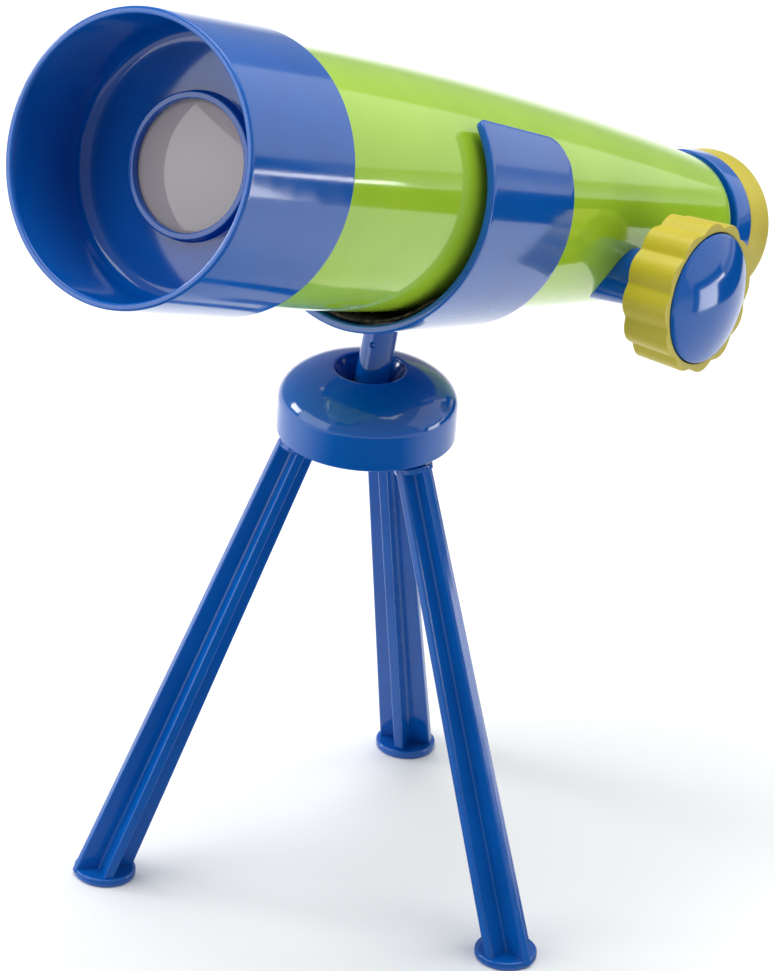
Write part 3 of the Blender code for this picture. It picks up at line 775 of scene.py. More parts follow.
def barrel_skin() -> RuleTree:
    """Makes the tree for the barrel's outer skin, whose radius falls by a power of the length."""
    rule = RuleTree(
        "barrel skin",
        {
            "Rows": "NodeSocketInt",
            "Steps": "NodeSocketInt",
            "Front": "NodeSocketFloat",
            "Shoulder": "NodeSocketFloat",
            "Rear": "NodeSocketFloat",
            "Radius": "NodeSocketFloat",
            "Drop": "NodeSocketFloat",
            "Power": "NodeSocketFloat",
        },
    )
    sleeve = add_node(
        rule.tree,
        "GeometryNodeMeshCylinder",
        {"fill_type": "NONE", "Radius": 1.0, "Depth": 1.0},
        {"Vertices": rule.input("Steps"), "Side Segments": rule.input("Rows")},
    )
    position = add_node(rule.tree, "GeometryNodeInputPosition")
    parts = add_node(rule.tree, "ShaderNodeSeparateXYZ", links={0: position.outputs[0]})
    found = rule.work_out(
        {"x": parts.outputs["X"], "y": parts.outputs["Y"], "z": parts.outputs["Z"]},
        (
            ("share", "ADD", "z", 0.5),
            ("length", "SUBTRACT", "Rear", "Front"),
            ("station", "MULTIPLY_ADD", "share", "length", "Front"),
            ("past shoulder", "SUBTRACT", "station", "Shoulder"),
            ("bellied", "SUBTRACT", "Rear", "Shoulder"),
            ("along", "DIVIDE", "past shoulder", "bellied"),
            ("along", "MAXIMUM", "along", 0.0),
            ("fall", "POWER", "along", "Power"),
            ("fall", "MULTIPLY", "fall", "Drop"),
            ("reach", "SUBTRACT", "Radius", "fall"),
            ("x", "MULTIPLY", "x", "reach"),
            ("y", "MULTIPLY", "y", "reach"),
        ),
    )
    moved = add_node(
        rule.tree,
        "ShaderNodeCombineXYZ",
        links={"X": found["x"], "Y": found["y"], "Z": found["station"]},
    )
    shaped = add_node(
        rule.tree,
        "GeometryNodeSetPosition",
        links={"Geometry": sleeve.outputs["Mesh"], "Position": moved.outputs[0]},
    )
    rule.close(shaped.outputs[0])
    return rule


def scalloped_grip() -> RuleTree:
    """Makes the tree that presses evenly spaced valleys into a ring's outer wall."""
    rule = RuleTree(
        "scalloped grip",
        {
            "Lobes": "NodeSocketInt",
            "Depth": "NodeSocketFloat",
            "Inner": "NodeSocketFloat",
            "Outer": "NodeSocketFloat",
            "Crease": "NodeSocketFloat",
        },
    )
    position = add_node(rule.tree, "GeometryNodeInputPosition")
    parts = add_node(rule.tree, "ShaderNodeSeparateXYZ", links={0: position.outputs[0]})
    found = rule.work_out(
        {"x": parts.outputs["X"], "y": parts.outputs["Y"]},
        (
            ("reach", "MULTIPLY", "x", "x"),
            ("y squared", "MULTIPLY", "y", "y"),
            ("reach", "ADD", "reach", "y squared"),
            ("reach", "SQRT", "reach"),
            ("half turns", "ARCTAN2", "y", "x"),
            ("half turns", "MULTIPLY", "half turns", "Lobes"),
            ("half turns", "MULTIPLY", "half turns", 0.5),
            ("wave", "SINE", "half turns"),
            ("softening", "MULTIPLY", "Crease", "Crease"),
            ("wave", "MULTIPLY_ADD", "wave", "wave", "softening"),
            ("wave", "SQRT", "wave"),
            ("valley", "SUBTRACT", 1.0, "wave"),
            ("valley", "MAXIMUM", "valley", 0.0),
            ("span", "SUBTRACT", "Outer", "Inner"),
            ("weight", "SUBTRACT", "reach", "Inner"),
            ("weight", "DIVIDE", "weight", "span"),
            ("weight", "MAXIMUM", "weight", 0.0),
            ("weight", "MINIMUM", "weight", 1.0),
            ("press", "MULTIPLY", "valley", "weight"),
            ("press", "MULTIPLY", "press", "Depth"),
            ("press", "DIVIDE", "press", "reach"),
            ("scale", "SUBTRACT", 1.0, "press"),
            ("x", "MULTIPLY", "x", "scale"),
            ("y", "MULTIPLY", "y", "scale"),
        ),
    )
    moved = add_node(
        rule.tree,
        "ShaderNodeCombineXYZ",
        links={"X": found["x"], "Y": found["y"], "Z": parts.outputs["Z"]},
    )
    shaped = add_node(
        rule.tree,
        "GeometryNodeSetPosition",
        links={"Geometry": rule.input("Geometry"), "Position": moved.outputs[0]},
    )
    rule.close(shaped.outputs[0])
    return rule


def add_piece(
    name: str,
    mesh: bpy.types.Mesh,
    body: Body,
    slot: Slot,
    finishes: Finishes,
    stands_for: Sequence[str] = (),
) -> bpy.types.Object:
    """Makes a finished mesh a piece of the object.

    Args:
        name: The piece's name.
        mesh: Its mesh, in place.
        body: The body that it rides on.
        slot: The record's slot for its finish.
        finishes: The materials.
        stands_for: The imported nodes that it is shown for.

    Returns:
        The piece.
    """
    made = on_bench(name, mesh)
    mesh.materials.clear()
    mesh.materials.append(finishes.for_slot(slot))
    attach(made, body.value)
    if stands_for:
        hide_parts(*stands_for)
    LOG.info("%s: %d faces on %s", name, len(mesh.polygons), body.value)
    return made


# ---------------------------------------------------------------- where things are


def frame_of(origin: Vector, across: Vector, along: Vector) -> Matrix:
    """Makes a right-handed place from an origin, its X axis and its Z axis.

    Args:
        origin: The place's origin.
        across: The X axis.
        along: The Z axis, which is kept exactly.

    Returns:
        The place as a matrix.
    """
    z_axis = along.normalized()
    y_axis = z_axis.cross(across).normalized()
    x_axis = y_axis.cross(z_axis)
    turn = Matrix((x_axis, y_axis, z_axis)).transposed().to_4x4()
    return Matrix.Translation(origin) @ turn


@dataclass
class Layout:
    """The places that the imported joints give."""

    joints: Sequence[dict[str, Any]]
    post_lean: float = math.radians(11.3)
    foot_reach: float = 71.8 * MM  # where a leg's centre line meets the floor, from the hub's axis

    def joint(self, name: str) -> dict[str, Any]:
        """Finds a joint by its name."""
        return next(joint for joint in self.joints if joint["name"] == name)

    @property
    def ball(self) -> Vector:
        """The ball's centre."""
        return Vector(self.joint("ball_pan")["pos_m"])

    @property
    def clip(self) -> Matrix:
        """The telescope's axis at the clip, before the telescope is rolled in it."""
        roll = self.joint("tube_roll")
        return frame_of(Vector(roll["pos_m"]), Vector((1.0, 0.0, 0.0)), Vector(roll["axis"]))

    @property
    def tube(self) -> Matrix:
        """The telescope's own axes."""
        roll, knob = self.joint("tube_roll"), self.joint("knob_turn")
        return frame_of(Vector(roll["pos_m"]), Vector(knob["axis"]), Vector(roll["axis"]))

    @property
    def knob(self) -> Matrix:
        """The knob's axis, with Z out of the telescope's side.

        Returns:
            The place as a matrix.
        """
        knob = self.joint("knob_turn")
        along = Vector(knob["axis"])
        centre = Vector(knob["pos_m"])
        return frame_of(centre, Vector(self.joint("tube_roll")["axis"]), along)

    @property
    def hub(self) -> Matrix:
        """The hub's upright axis at floor height."""
        return Matrix.Translation((self.ball.x, self.ball.y, 0.0))

    @property
    def post(self) -> Matrix:
        """The post's axis from the ball's centre."""
        return Matrix.Translation(self.ball) @ Matrix.Rotation(-self.post_lean, 4, "X")

    def leg(self, name: str) -> tuple[Matrix, Vector]:
        """Finds a leg's place.

        Args:
            name: The leg's body.

        Returns:
            The place where its centre line meets the floor, with Z up the leg and X outwards, and
            the level direction outwards.
        """
        up = -Vector(self.joint(f"{name}_pull")["axis"])
        outward = Vector((-up.x, -up.y, 0.0)).normalized()
        foot = Vector((self.ball.x, self.ball.y, 0.0)) + outward * self.foot_reach
        return frame_of(foot, outward, up), outward


# ---------------------------------------------------------------- sub-assemblies


@dataclass
class Objective:
    """The flared front hood with its lens."""

    front: float = -119.7 * MM
    rear: float = -72.0 * MM
    radius: float = 40.0 * MM
    rear_radius: float = 39.4 * MM
    bore: float = 37.9 * MM
    lip: float = 1.0 * MM
    plate_front: float = -89.7 * MM
    plate_back: float = -87.2 * MM
    ring_radius: float = 20.0 * MM
    ring_front: float = -93.3 * MM
    lens_radius: float = 18.7 * MM
    lens_front: float = -90.7 * MM
    lens_back: float = -88.3 * MM
    front_bulge: float = 2.0 * MM
    back_bulge: float = 1.5 * MM
    socket_radius: float = 36.5 * MM  # takes the barrel's front end
    cell_depth: float = 4.2 * MM
    gap: float = 0.3 * MM

    def hood_mesh(self, place: Matrix) -> bpy.types.Mesh:
        """Turns the hood: a soft lip, a deep recess and the lens's raised ring.

        Args:
            place: Where the piece stands.

        Returns:
            The mesh, standing in place.
        """
        seat = self.lens_radius - 0.8 * MM
        cell = self.lens_radius + self.gap
        outline = [
            (self.rear_radius, self.rear, 0.6 * MM),
            (self.radius, self.front - self.lip, 1.0 * MM),
            (self.bore, self.front - self.lip, 1.0 * MM),
            (self.bore, self.plate_front, 5.0 * MM),
            (self.ring_radius, self.plate_front, 0.5 * MM),
            (self.ring_radius - 0.1 * MM, self.ring_front, 0.55 * MM),
            (seat, self.ring_front, 0.5 * MM),
            (seat, self.lens_front - self.gap, 0.2 * MM),
            (cell, self.lens_front - self.gap),
            (cell, self.plate_back + self.cell_depth),
            (cell + 2.2 * MM, self.plate_back + self.cell_depth),
            (cell + 2.2 * MM, self.plate_back),
            (self.socket_radius, self.plate_back),
            (self.socket_radius, self.rear, 0.3 * MM),
        ]
        return turned("hood", softened(outline), place)

    def lens_mesh(self, place: Matrix) -> bpy.types.Mesh:
        """Turns the double-convex lens.

        Args:
            place: Where the piece stands.

        Returns:
            The mesh, standing in place.
        """

        def back(share: float) -> tuple[float, float]:
            return self.lens_radius * share, self.lens_back + self.back_bulge * (1 - share**2)

        def front(share: float) -> tuple[float, float]:
            return self.lens_radius * (1 - share), self.lens_front - self.front_bulge * (1 - (1 - share) ** 2)

        outline = curve_points(back, 24) + curve_points(front, 24)
        return turned("objective", outline, place, closed=False)

    def build(self, layout: Layout, finishes: Finishes) -> None:
        """Builds and dresses the hood and lens.

        Args:
            layout: Where the frame's joints stand.
            finishes: What the pieces are painted with.
        """
        hood = self.hood_mesh(layout.tube)
        add_piece("hood_moulding", hood, Body.TELESCOPE, Slot.BLUE, finishes, ["front_hood"])
        lens = self.lens_mesh(layout.tube)
        add_piece("objective_glass", lens, Body.TELESCOPE, Slot.LENS, finishes, ["objective_lens"])


@dataclass
class Barrel:
    """The bellied body tube, and the boss that carries the focus shaft."""

    front: float = -86.6 * MM
    shoulder: float = -72.0 * MM
    rear: float = 157.3 * MM
    radius: float = 36.2 * MM
    drop: float = 14.75 * MM
    power: float = 1.85
    wall: float = 1.6 * MM
    rows: int = 72
    boss_inner: float = 14.0 * MM
    boss_end: float = 38.6 * MM
    boss_inner_radius: float = 9.6 * MM
    boss_end_radius: float = 7.6 * MM
    boss_bore: float = 3.9 * MM
    hole: float = 5.9 * MM
    hole_start: float = 18.0 * MM
    hole_end: float = 34.0 * MM
    saddle_gap: float = 0.6 * MM

    def skin(
        self, name: str, shrink: float, rows: int, place: Matrix, green: bpy.types.Material
    ) -> bpy.types.Mesh:
        """Grows the barrel's skin, shrunk by a little, as an open sleeve in place.

        Args:
            name: What the mesh is called.
            shrink: How far the skin is drawn in.
            rows: How many rows of faces run along it.
            place: Where the piece stands.
            green: The barrel's finish.

        Returns:
            The mesh, standing in place.
        """
        values = {
            "Rows": rows,
            "Steps": TURN_STEPS,
            "Front": self.front,
            "Shoulder": self.shoulder,
            "Rear": self.rear,
            "Radius": self.radius - shrink,
            "Drop": self.drop,
            "Power": self.power,
            "Material": green,
        }
        mesh = barrel_skin().grow(name, values)
        mesh.transform(place)
        return mesh

    def tube_mesh(self, layout: Layout, finishes: Finishes) -> bpy.types.Mesh:
        """Gives the skin its wall and rim, and cuts the hole that the boss covers.

        Args:
            layout: Where the frame's joints stand.
            finishes: What the pieces are painted with.

        Returns:
            The mesh, standing in place.
        """
        worked = on_bench("barrel", self.skin("barrel", 0.0, self.rows, layout.tube, finishes.green))
        wall = worked.modifiers.new("wall", "SOLIDIFY")
        wall.thickness = self.wall
        wall.offset = -1.0
        wall.use_even_offset = True
        rim = worked.modifiers.new("rim", "BEVEL")
        rim.width = 0.35 * MM
        rim.segments = 3
        rim.limit_method = "ANGLE"
        rim.angle_limit = math.radians(50.0)
        mesh = off_bench(worked, "barrel")
        return cut(mesh, rod("hole", self.hole_start, self.hole_end, self.hole, layout.knob))

    def boss_mesh(self, layout: Layout, finishes: Finishes) -> bpy.types.Mesh:
        """Turns the tapered boss, saddled to the barrel and bored for the shaft.

        Args:
            layout: Where the frame's joints stand.
            finishes: What the pieces are painted with.

        Returns:
            The mesh, standing in place.
        """
        outline = [
            (self.boss_bore, self.boss_inner),
            (self.boss_inner_radius, self.boss_inner),
            (self.boss_end_radius, self.boss_end, 0.6 * MM),
            (self.boss_bore, self.boss_end, 0.3 * MM),
        ]
        boss = turned("boss", softened(outline), layout.knob, steps=96)
        middle = self.skin("saddle", self.saddle_gap, 24, layout.tube, finishes.green)
        build = bmesh.new()
        build.from_mesh(middle)
        bmesh.ops.holes_fill(build, edges=build.edges, sides=0)
        bmesh.ops.recalc_face_normals(build, faces=build.faces)
        build.to_mesh(middle)
        build.free()
        return cut(boss, middle)

    def build(self, layout: Layout, finishes: Finishes) -> None:
        """Builds and dresses the barrel and boss.

        Args:
            layout: Where the frame's joints stand.
            finishes: What the pieces are painted with.
        """
        tube = self.tube_mesh(layout, finishes)
        add_piece("barrel_moulding", tube, Body.TELESCOPE, Slot.GREEN, finishes, ["body_tube"])
        boss = self.boss_mesh(layout, finishes)
        add_piece("focus_boss", boss, Body.TELESCOPE, Slot.BLUE, finishes, ["focus_housing"])


@dataclass
class FocusKnob:
    """The scalloped knob and its domed cap."""

    back: float = 39.1 * MM
    front: float = 54.4 * MM
    radius: float = 22.4 * MM
    back_radius: float = 21.7 * MM
    lobes: int = 12
    lobe_depth: float = 1.7 * MM
    crease: float = 0.10
    cap_radius: float = 19.2 * MM
    cap_rim: float = 55.2 * MM
    cap_apex: float = 60.2 * MM
    cap_seat: float = 50.4 * MM
    cap_wall: float = 2.0 * MM
    recess: float = 17.5 * MM
    bore: float = 2.2 * MM
    screw_recess: float = 5.0 * MM
    recess_depth: float = 5.4 * MM
    screw_depth: float = 2.5 * MM

    def grip_mesh(self, layout: Layout, finishes: Finishes) -> bpy.types.Mesh:
        """Turns the knob with its recesses and presses the valleys into its wall.

        Args:
            layout: Where the frame's joints stand.
            finishes: What the pieces are painted with.

        Returns:
            The mesh, standing in place.
        """
        web = self.back + self.recess_depth
        ledge = self.cap_seat - 0.4 * MM
        pocket = ledge - self.screw_depth
        inner = self.cap_radius + 0.3 * MM

        def wall(share: float) -> tuple[float, float]:
            edge = 0.9 * MM
            height = self.back + edge + (self.front - self.back - 2 * edge) * share
            return self.back_radius + (self.radius - self.back_radius) * share, height

        outline = softened([
            (self.bore, web, 0.2 * MM),
            (self.recess, web, 0.8 * MM),
            (self.recess, self.back, 0.5 * MM),
            (self.back_radius, self.back, 0.7 * MM),
            *curve_points(wall, 6),
            (self.radius, self.front, 0.8 * MM),
            (inner, self.front, 0.35 * MM),
            (inner, ledge, 0.3 * MM),
            (self.screw_recess, ledge, 0.3 * MM),
            (self.screw_recess, pocket, 0.3 * MM),
            (self.bore, pocket, 0.2 * MM),
        ])
        ring = turned("grip", outline, Matrix.Identity(4), steps=self.lobes * 30)
        values = {
            "Lobes": self.lobes,
            "Depth": self.lobe_depth,
            "Inner": inner + 0.2 * MM,
            "Outer": self.back_radius - 0.7 * MM,
            "Crease": self.crease,
            "Material": finishes.yellow,
        }
        mesh = scalloped_grip().grow("grip", values, ring)
        mesh.transform(layout.knob)
        return smoothed(mesh)

    def cap_mesh(self, layout: Layout) -> bpy.types.Mesh:
        """Turns the hollow domed cap.

        Args:
            layout: Where the frame's joints stand.

        Returns:
            The mesh, standing in place.
        """
        rise = self.cap_apex - self.cap_rim
        inside = self.cap_radius - self.cap_wall

        def dome(share: float) -> tuple[float, float]:
            return self.cap_radius * share * 0.985, self.cap_apex - rise * share**2

        def vault(share: float) -> tuple[float, float]:
            return inside * (1 - share), self.cap_apex - self.cap_wall - rise * (1 - share) ** 2

        rim = softened(
            [
                dome(1.0),
                (self.cap_radius, self.cap_rim - 0.4 * MM, 0.3 * MM),
                (self.cap_radius, self.cap_seat),
                (inside, self.cap_seat),
                vault(0.0),
            ],
            closed=False,
        )
        outline = curve_points(dome, 30)[:-1] + rim[:-1] + curve_points(vault, 20)
        return turned("cap", outline, layout.knob, closed=False)

    def build(self, layout: Layout, finishes: Finishes) -> None:
        """Builds and dresses the knob and cap.

        Args:
            layout: Where the frame's joints stand.
            finishes: What the pieces are painted with.
        """
        grip = self.grip_mesh(layout, finishes)
        add_piece("knob_grip", grip, Body.FOCUS, Slot.YELLOW, finishes, ["focus_knob"])
        cap = self.cap_mesh(layout)
        add_piece("knob_dome", cap, Body.FOCUS, Slot.BLUE, finishes, ["knob_cap"])


@dataclass
class Eyepiece:
    """The sliding draw tube with its collar, eye lens and eyecup."""

    draw_front: float = 66.0 * MM
    draw_rear: float = 159.6 * MM
    draw_radius: float = 14.0 * MM
    draw_bore: float = 12.6 * MM
    collar_rear: float = 167.4 * MM
    collar_radius: float = 22.8 * MM
    cup_front: float = 167.7 * MM
    cup_rear: float = 178.6 * MM
    cup_radius: float = 23.6 * MM
    cup_bore: float = 10.5 * MM
    cup_lip: float = 3.0 * MM
    cup_roll: float = 130.0  # degrees that the lip is rolled through
    cup_spigot: float = 16.7 * MM
    cup_spigot_front: float = 165.7 * MM
    spigot_front: float = 153.0 * MM
    lens_radius: float = 12.0 * MM
    lens_front: float = 163.9 * MM
    lens_back: float = 164.7 * MM
    lens_front_hollow: float = 0.5 * MM
    lens_back_hollow: float = 0.6 * MM
    pocket_front: float = 163.0 * MM
    pocket_rear: float = 165.4 * MM
    gap: float = 0.3 * MM

    def draw_mesh(self, place: Matrix) -> bpy.types.Mesh:
        """Turns the draw tube.

        Args:
            place: Where the piece stands.

        Returns:
            The mesh, standing in place.
        """
        outline = [
            (self.draw_radius, self.draw_rear),
            (self.draw_radius, self.draw_front, 0.3 * MM),
            (self.draw_bore, self.draw_front, 0.3 * MM),
            (self.draw_bore, self.draw_rear),
        ]
        return turned("draw tube", softened(outline), place)

    def collar_mesh(self, place: Matrix) -> bpy.types.Mesh:
        """Turns the collar, with its spigot in the draw tube and its pocket for the eye lens.

        Args:
            place: Where the piece stands.

        Returns:
            The mesh, standing in place.
        """
        face = self.draw_rear + self.gap
        spigot = self.draw_bore - self.gap
        outline = [
            (self.collar_radius - 0.1 * MM, self.collar_rear, 0.5 * MM),
            (self.collar_radius, self.collar_rear - 1.0 * MM),
            (self.collar_radius - 0.5 * MM, face, 0.6 * MM),
            (spigot, face),
            (spigot, self.spigot_front),
            (self.cup_bore, self.spigot_front),
            (self.cup_bore, self.pocket_front),
            (self.lens_radius + self.gap, self.pocket_front),
            (self.lens_radius + self.gap, self.pocket_rear),
            (self.cup_spigot + self.gap, self.pocket_rear),
            (self.cup_spigot + self.gap, self.collar_rear),
        ]
        return turned("collar", softened(outline), place)

    def cup_mesh(self, place: Matrix) -> bpy.types.Mesh:
        """Turns the eyecup: a full round lip that rolls into a flared mouth.

        Args:
            place: Where the piece stands.

        Returns:
            The mesh, standing in place.
        """
        lip = self.cup_lip
        centre = (self.cup_radius - lip, self.cup_rear - lip)

        def roll(share: float) -> tuple[float, float]:
            angle = math.radians(self.cup_roll * (1 - share))
            return centre[0] + lip * math.cos(angle), centre[1] + lip * math.sin(angle)

        foot = softened(
            [
                roll(1.0),
                (self.cup_radius - 1.2 * MM, self.cup_front, 0.6 * MM),
                (self.cup_spigot, self.cup_front),
                (self.cup_spigot, self.cup_spigot_front),
                (self.cup_bore, self.cup_spigot_front),
                (self.cup_bore, self.cup_front + 0.8 * MM, 1.5 * MM),
                roll(0.0),
            ],
            closed=False,
        )
        return turned("eyecup", curve_points(roll, 24) + foot[1:-1], place)

    def lens_mesh(self, place: Matrix) -> bpy.types.Mesh:
        """Turns the small concave eye lens.

        Args:
            place: Where the piece stands.

        Returns:
            The mesh, standing in place.
        """
        radius = self.lens_radius

        def back(share: float) -> tuple[float, float]:
            return radius * share, self.lens_back + self.lens_back_hollow * share**2

        def front(share: float) -> tuple[float, float]:
            return radius * (1 - share), self.lens_front - self.lens_front_hollow * (1 - share) ** 2

        outline = curve_points(back, 16) + curve_points(front, 16)
        return turned("eye lens", outline, place, closed=False)

    def build(self, layout: Layout, finishes: Finishes) -> None:
        """Builds and dresses the eyepiece.

        Args:
            layout: Where the frame's joints stand.
            finishes: What the pieces are painted with.
        """
        place = layout.tube
        pieces = (
            ("draw_sleeve", self.draw_mesh(place), Slot.BLACK, "draw_tube"),
            ("rear_collar", self.collar_mesh(place), Slot.BLUE, "eyepiece_collar"),
            ("eye_cup_moulding", self.cup_mesh(place), Slot.YELLOW, "eyecup"),
            ("eye_glass", self.lens_mesh(place), Slot.LENS, "eye_lens"),
        )
        for name, mesh, slot, node in pieces:
            add_piece(name, mesh, Body.EYEPIECE, slot, finishes, [node])


@dataclass
class BentSheet:
    """A sheet bent round the underside of the telescope, with round corners and edges."""

    low: float
    high: float
    front_radius: float  # outer radius at station cone_low
    rear_radius: float  # and at station cone_high
    cone_low: float
    cone_high: float
    wall: float
    top: float  # angle of its ends above the horizontal
    front_corner: float
    rear_corner: float
    edge: float
    drop: float = 0.8 * MM
    lumps: float = 0.0  # depth of a foam's uneven skin
    rows: int = 150
    columns: int = 30

    def reach(self, station: float) -> float:
        """The outer radius at a station."""
        share = (station - self.cone_low) / (self.cone_high - self.cone_low)
        return self.front_radius + (self.rear_radius - self.front_radius) * share

    def spread(self, length: float, middle: int) -> list[float]:
        """Steps over a length, fine where the edges are round."""
        fine = [self.edge * (1 - math.cos(math.pi / 2 * k / 6)) for k in range(7)]
        inner = [self.edge + (length - 2 * self.edge) * k / middle for k in range(1, middle)]
        return fine + inner + [length - step for step in reversed(fine)]

    def rounding(self, distance: float) -> float:
        """How far the skin falls at a distance from the sheet's edge."""
        near = self.edge - min(max(distance, 0.0), self.edge)
        return self.edge - math.sqrt(self.edge**2 - near**2)

    def mesh(self, name: str, place: Matrix) -> bpy.types.Mesh:
        """Builds the closed sheet.

        Args:
            name: The mesh's name.
            place: The place whose Z axis it bends about.

        Returns:
            The mesh.
        """
        build = bmesh.new()
        length = self.high - self.low
        full = math.pi / 2 + self.top
        skins: list[list[list[bmesh.types.BMVert]]] = [[], []]
        for offset in self.spread(length, self.columns):
            reach = self.reach(self.low + offset)
            side = min(offset, length - offset)
            corner = self.front_corner if offset < length / 2 else self.rear_corner
            cutback = corner - math.sqrt(corner**2 - (corner - side) ** 2) if side < corner else 0.0
            end = full - cutback / reach
            steps = self.spread(2 * end * reach, self.rows)
            columns: tuple[list[bmesh.types.BMVert], ...] = ([], [])
            for step in steps:
                angle = step / reach - end
                tip = (full - abs(angle)) * reach
                if side < corner and tip < corner:
                    distance = corner - math.hypot(corner - side, corner - tip)
                else:
                    distance = min(side, tip)
                fall = self.rounding(distance)
                for column, radius in zip(columns, (reach - fall, reach - self.wall + fall)):
                    point = Vector((math.sin(angle), math.cos(angle), 0.0)) * radius
                    point += Vector((0.0, self.drop, self.low + offset))
                    if self.lumps:
                        point *= 1 - self.lumps / reach * (0.5 + 0.5 * noise.noise(point / (1.3 * MM)))
                    column.append(build.verts.new(point))
            skins[0].append(columns[0])
            skins[1].append(columns[1])
        wide, tall = len(skins[0]), len(skins[0][0])
        for skin in skins:
            for i in range(wide - 1):
                for j in range(tall - 1):
                    build.faces.new((skin[i][j], skin[i + 1][j], skin[i + 1][j + 1], skin[i][j + 1]))
        loop = [(i, 0) for i in range(wide - 1)] + [(wide - 1, j) for j in range(tall - 1)]
        loop += [(i, tall - 1) for i in range(wide - 1, 0, -1)] + [(0, j) for j in range(tall - 1, 0, -1)]
        for (i, j), (m, n) in zip(loop, loop[1:] + loop[:1]):
            build.faces.new((skins[0][i][j], skins[0][m][n], skins[1][m][n], skins[1][i][j]))
        return to_mesh(build, name, place)


@dataclass
class Clip:
    """The C-shaped clip with its foam, and the post under it."""

    front: float = -4.5 * MM
    rear: float = 45.7 * MM
    front_radius: float = 40.1 * MM
    rear_radius: float = 35.5 * MM
    wall: float = 2.4 * MM
    top: float = math.radians(47.0)
    foam_wall: float = 0.9 * MM
    foam_gap: float = 0.45 * MM
    post_length: float = 23.5 * MM
    post_top_radius: float = 4.8 * MM
    post_foot_radius: float = 5.0 * MM
    socket: float = 7.85 * MM
    groove_radius: float = 1.2 * MM
    groove_low: float = 13.5 * MM
    dimple_radius: float = 1.0 * MM
    dimple_at: tuple[float, float] = (1.2 * MM, 18.0 * MM)  # across and up the post

    def sheet(self) -> BentSheet:
        """The clip's sheet."""
        return BentSheet(
            low=self.front,
            high=self.rear,
            front_radius=self.front_radius,
            rear_radius=self.rear_radius,
            cone_low=self.front,
            cone_high=self.rear,
            wall=self.wall,
            top=self.top,
            front_corner=2.5 * MM,
            rear_corner=9.0 * MM,
            edge=0.7 * MM,
        )

    def foam(self) -> BentSheet:
        """The foam's sheet, inside the clip."""
        inset = self.wall + self.foam_gap
        return BentSheet(
            low=self.front + 1.6 * MM,
            high=self.rear - 2.0 * MM,
            front_radius=self.front_radius - inset,
            rear_radius=self.rear_radius - inset,
            cone_low=self.front,
            cone_high=self.rear,
            wall=self.foam_wall,
            top=math.radians(-38.0),
            front_corner=2.0 * MM,
            rear_corner=2.0 * MM,
            edge=0.3 * MM,
            lumps=0.12 * MM,
            rows=120,
            columns=50,
        )

    def post_mesh(self, place: Matrix) -> bpy.types.Mesh:
        """Turns the post, with a groove up one side, a small mould dimple and a hollow foot.

        Args:
            place: Where the piece stands.

        Returns:
            The mesh, standing in place.
        """

        def hollow(share: float) -> tuple[float, float]:
            reach = self.post_foot_radius * share
            return reach, math.sqrt(self.socket**2 - reach**2)

        top = self.post_length + 1.0 * MM
        outline = curve_points(hollow, 12) + [(self.post_top_radius, top), (0.0, top)]
        post = turned("post", outline, place, closed=False, steps=96)
        radius, low, high = self.groove_radius, self.groove_low, self.post_length - 1.0 * MM

        def capsule(share: float) -> tuple[float, float]:
            angle = math.pi * (share - 0.5)
            height = low if share < 0.5 else high
            return max(radius * math.cos(angle), 0.0), height + radius * math.sin(angle)

        def dot(share: float) -> tuple[float, float]:
            inside = 0.0 < share < 1.0
            across = self.dimple_radius * math.sin(math.pi * share) if inside else 0.0
            return across, self.dimple_radius * math.cos(math.pi * share)

        rounded = curve_points(capsule, 24)
        rounded[0], rounded[-1] = (0.0, low - radius), (0.0, high + radius)
        rounded.insert(13, (radius, high))
        groove = turned(
            "groove",
            rounded,
            place @ Matrix.Translation((self.post_top_radius + 0.5 * MM, 0.0, 0.0)),
            closed=False,
            steps=32,
        )
        across, up = self.dimple_at
        dimple_place = place @ Matrix.Translation((across, -self.post_top_radius - 0.2 * MM, up))
        dimple = turned("dimple", curve_points(dot, 16), dimple_place, closed=False, steps=24)
        return cut(post, groove, dimple)

    def build(self, layout: Layout, finishes: Finishes) -> None:
        """Builds and dresses the clip, foam and post.

        Args:
            layout: Where the frame's joints stand.
            finishes: What the pieces are painted with.
        """
        clip = self.sheet().mesh("clip", layout.clip)
        add_piece("clip_band", clip, Body.MOUNT, Slot.BLUE, finishes, ["cradle"])
        foam = self.foam().mesh("foam", layout.clip)
        liner = add_piece("foam_liner", foam, Body.MOUNT, Slot.FOAM, finishes, ["cradle_pad"])
        post = self.post_mesh(layout.post)
        add_piece("post_moulding", post, Body.MOUNT, Slot.BLUE, finishes, ["swivel_post"])


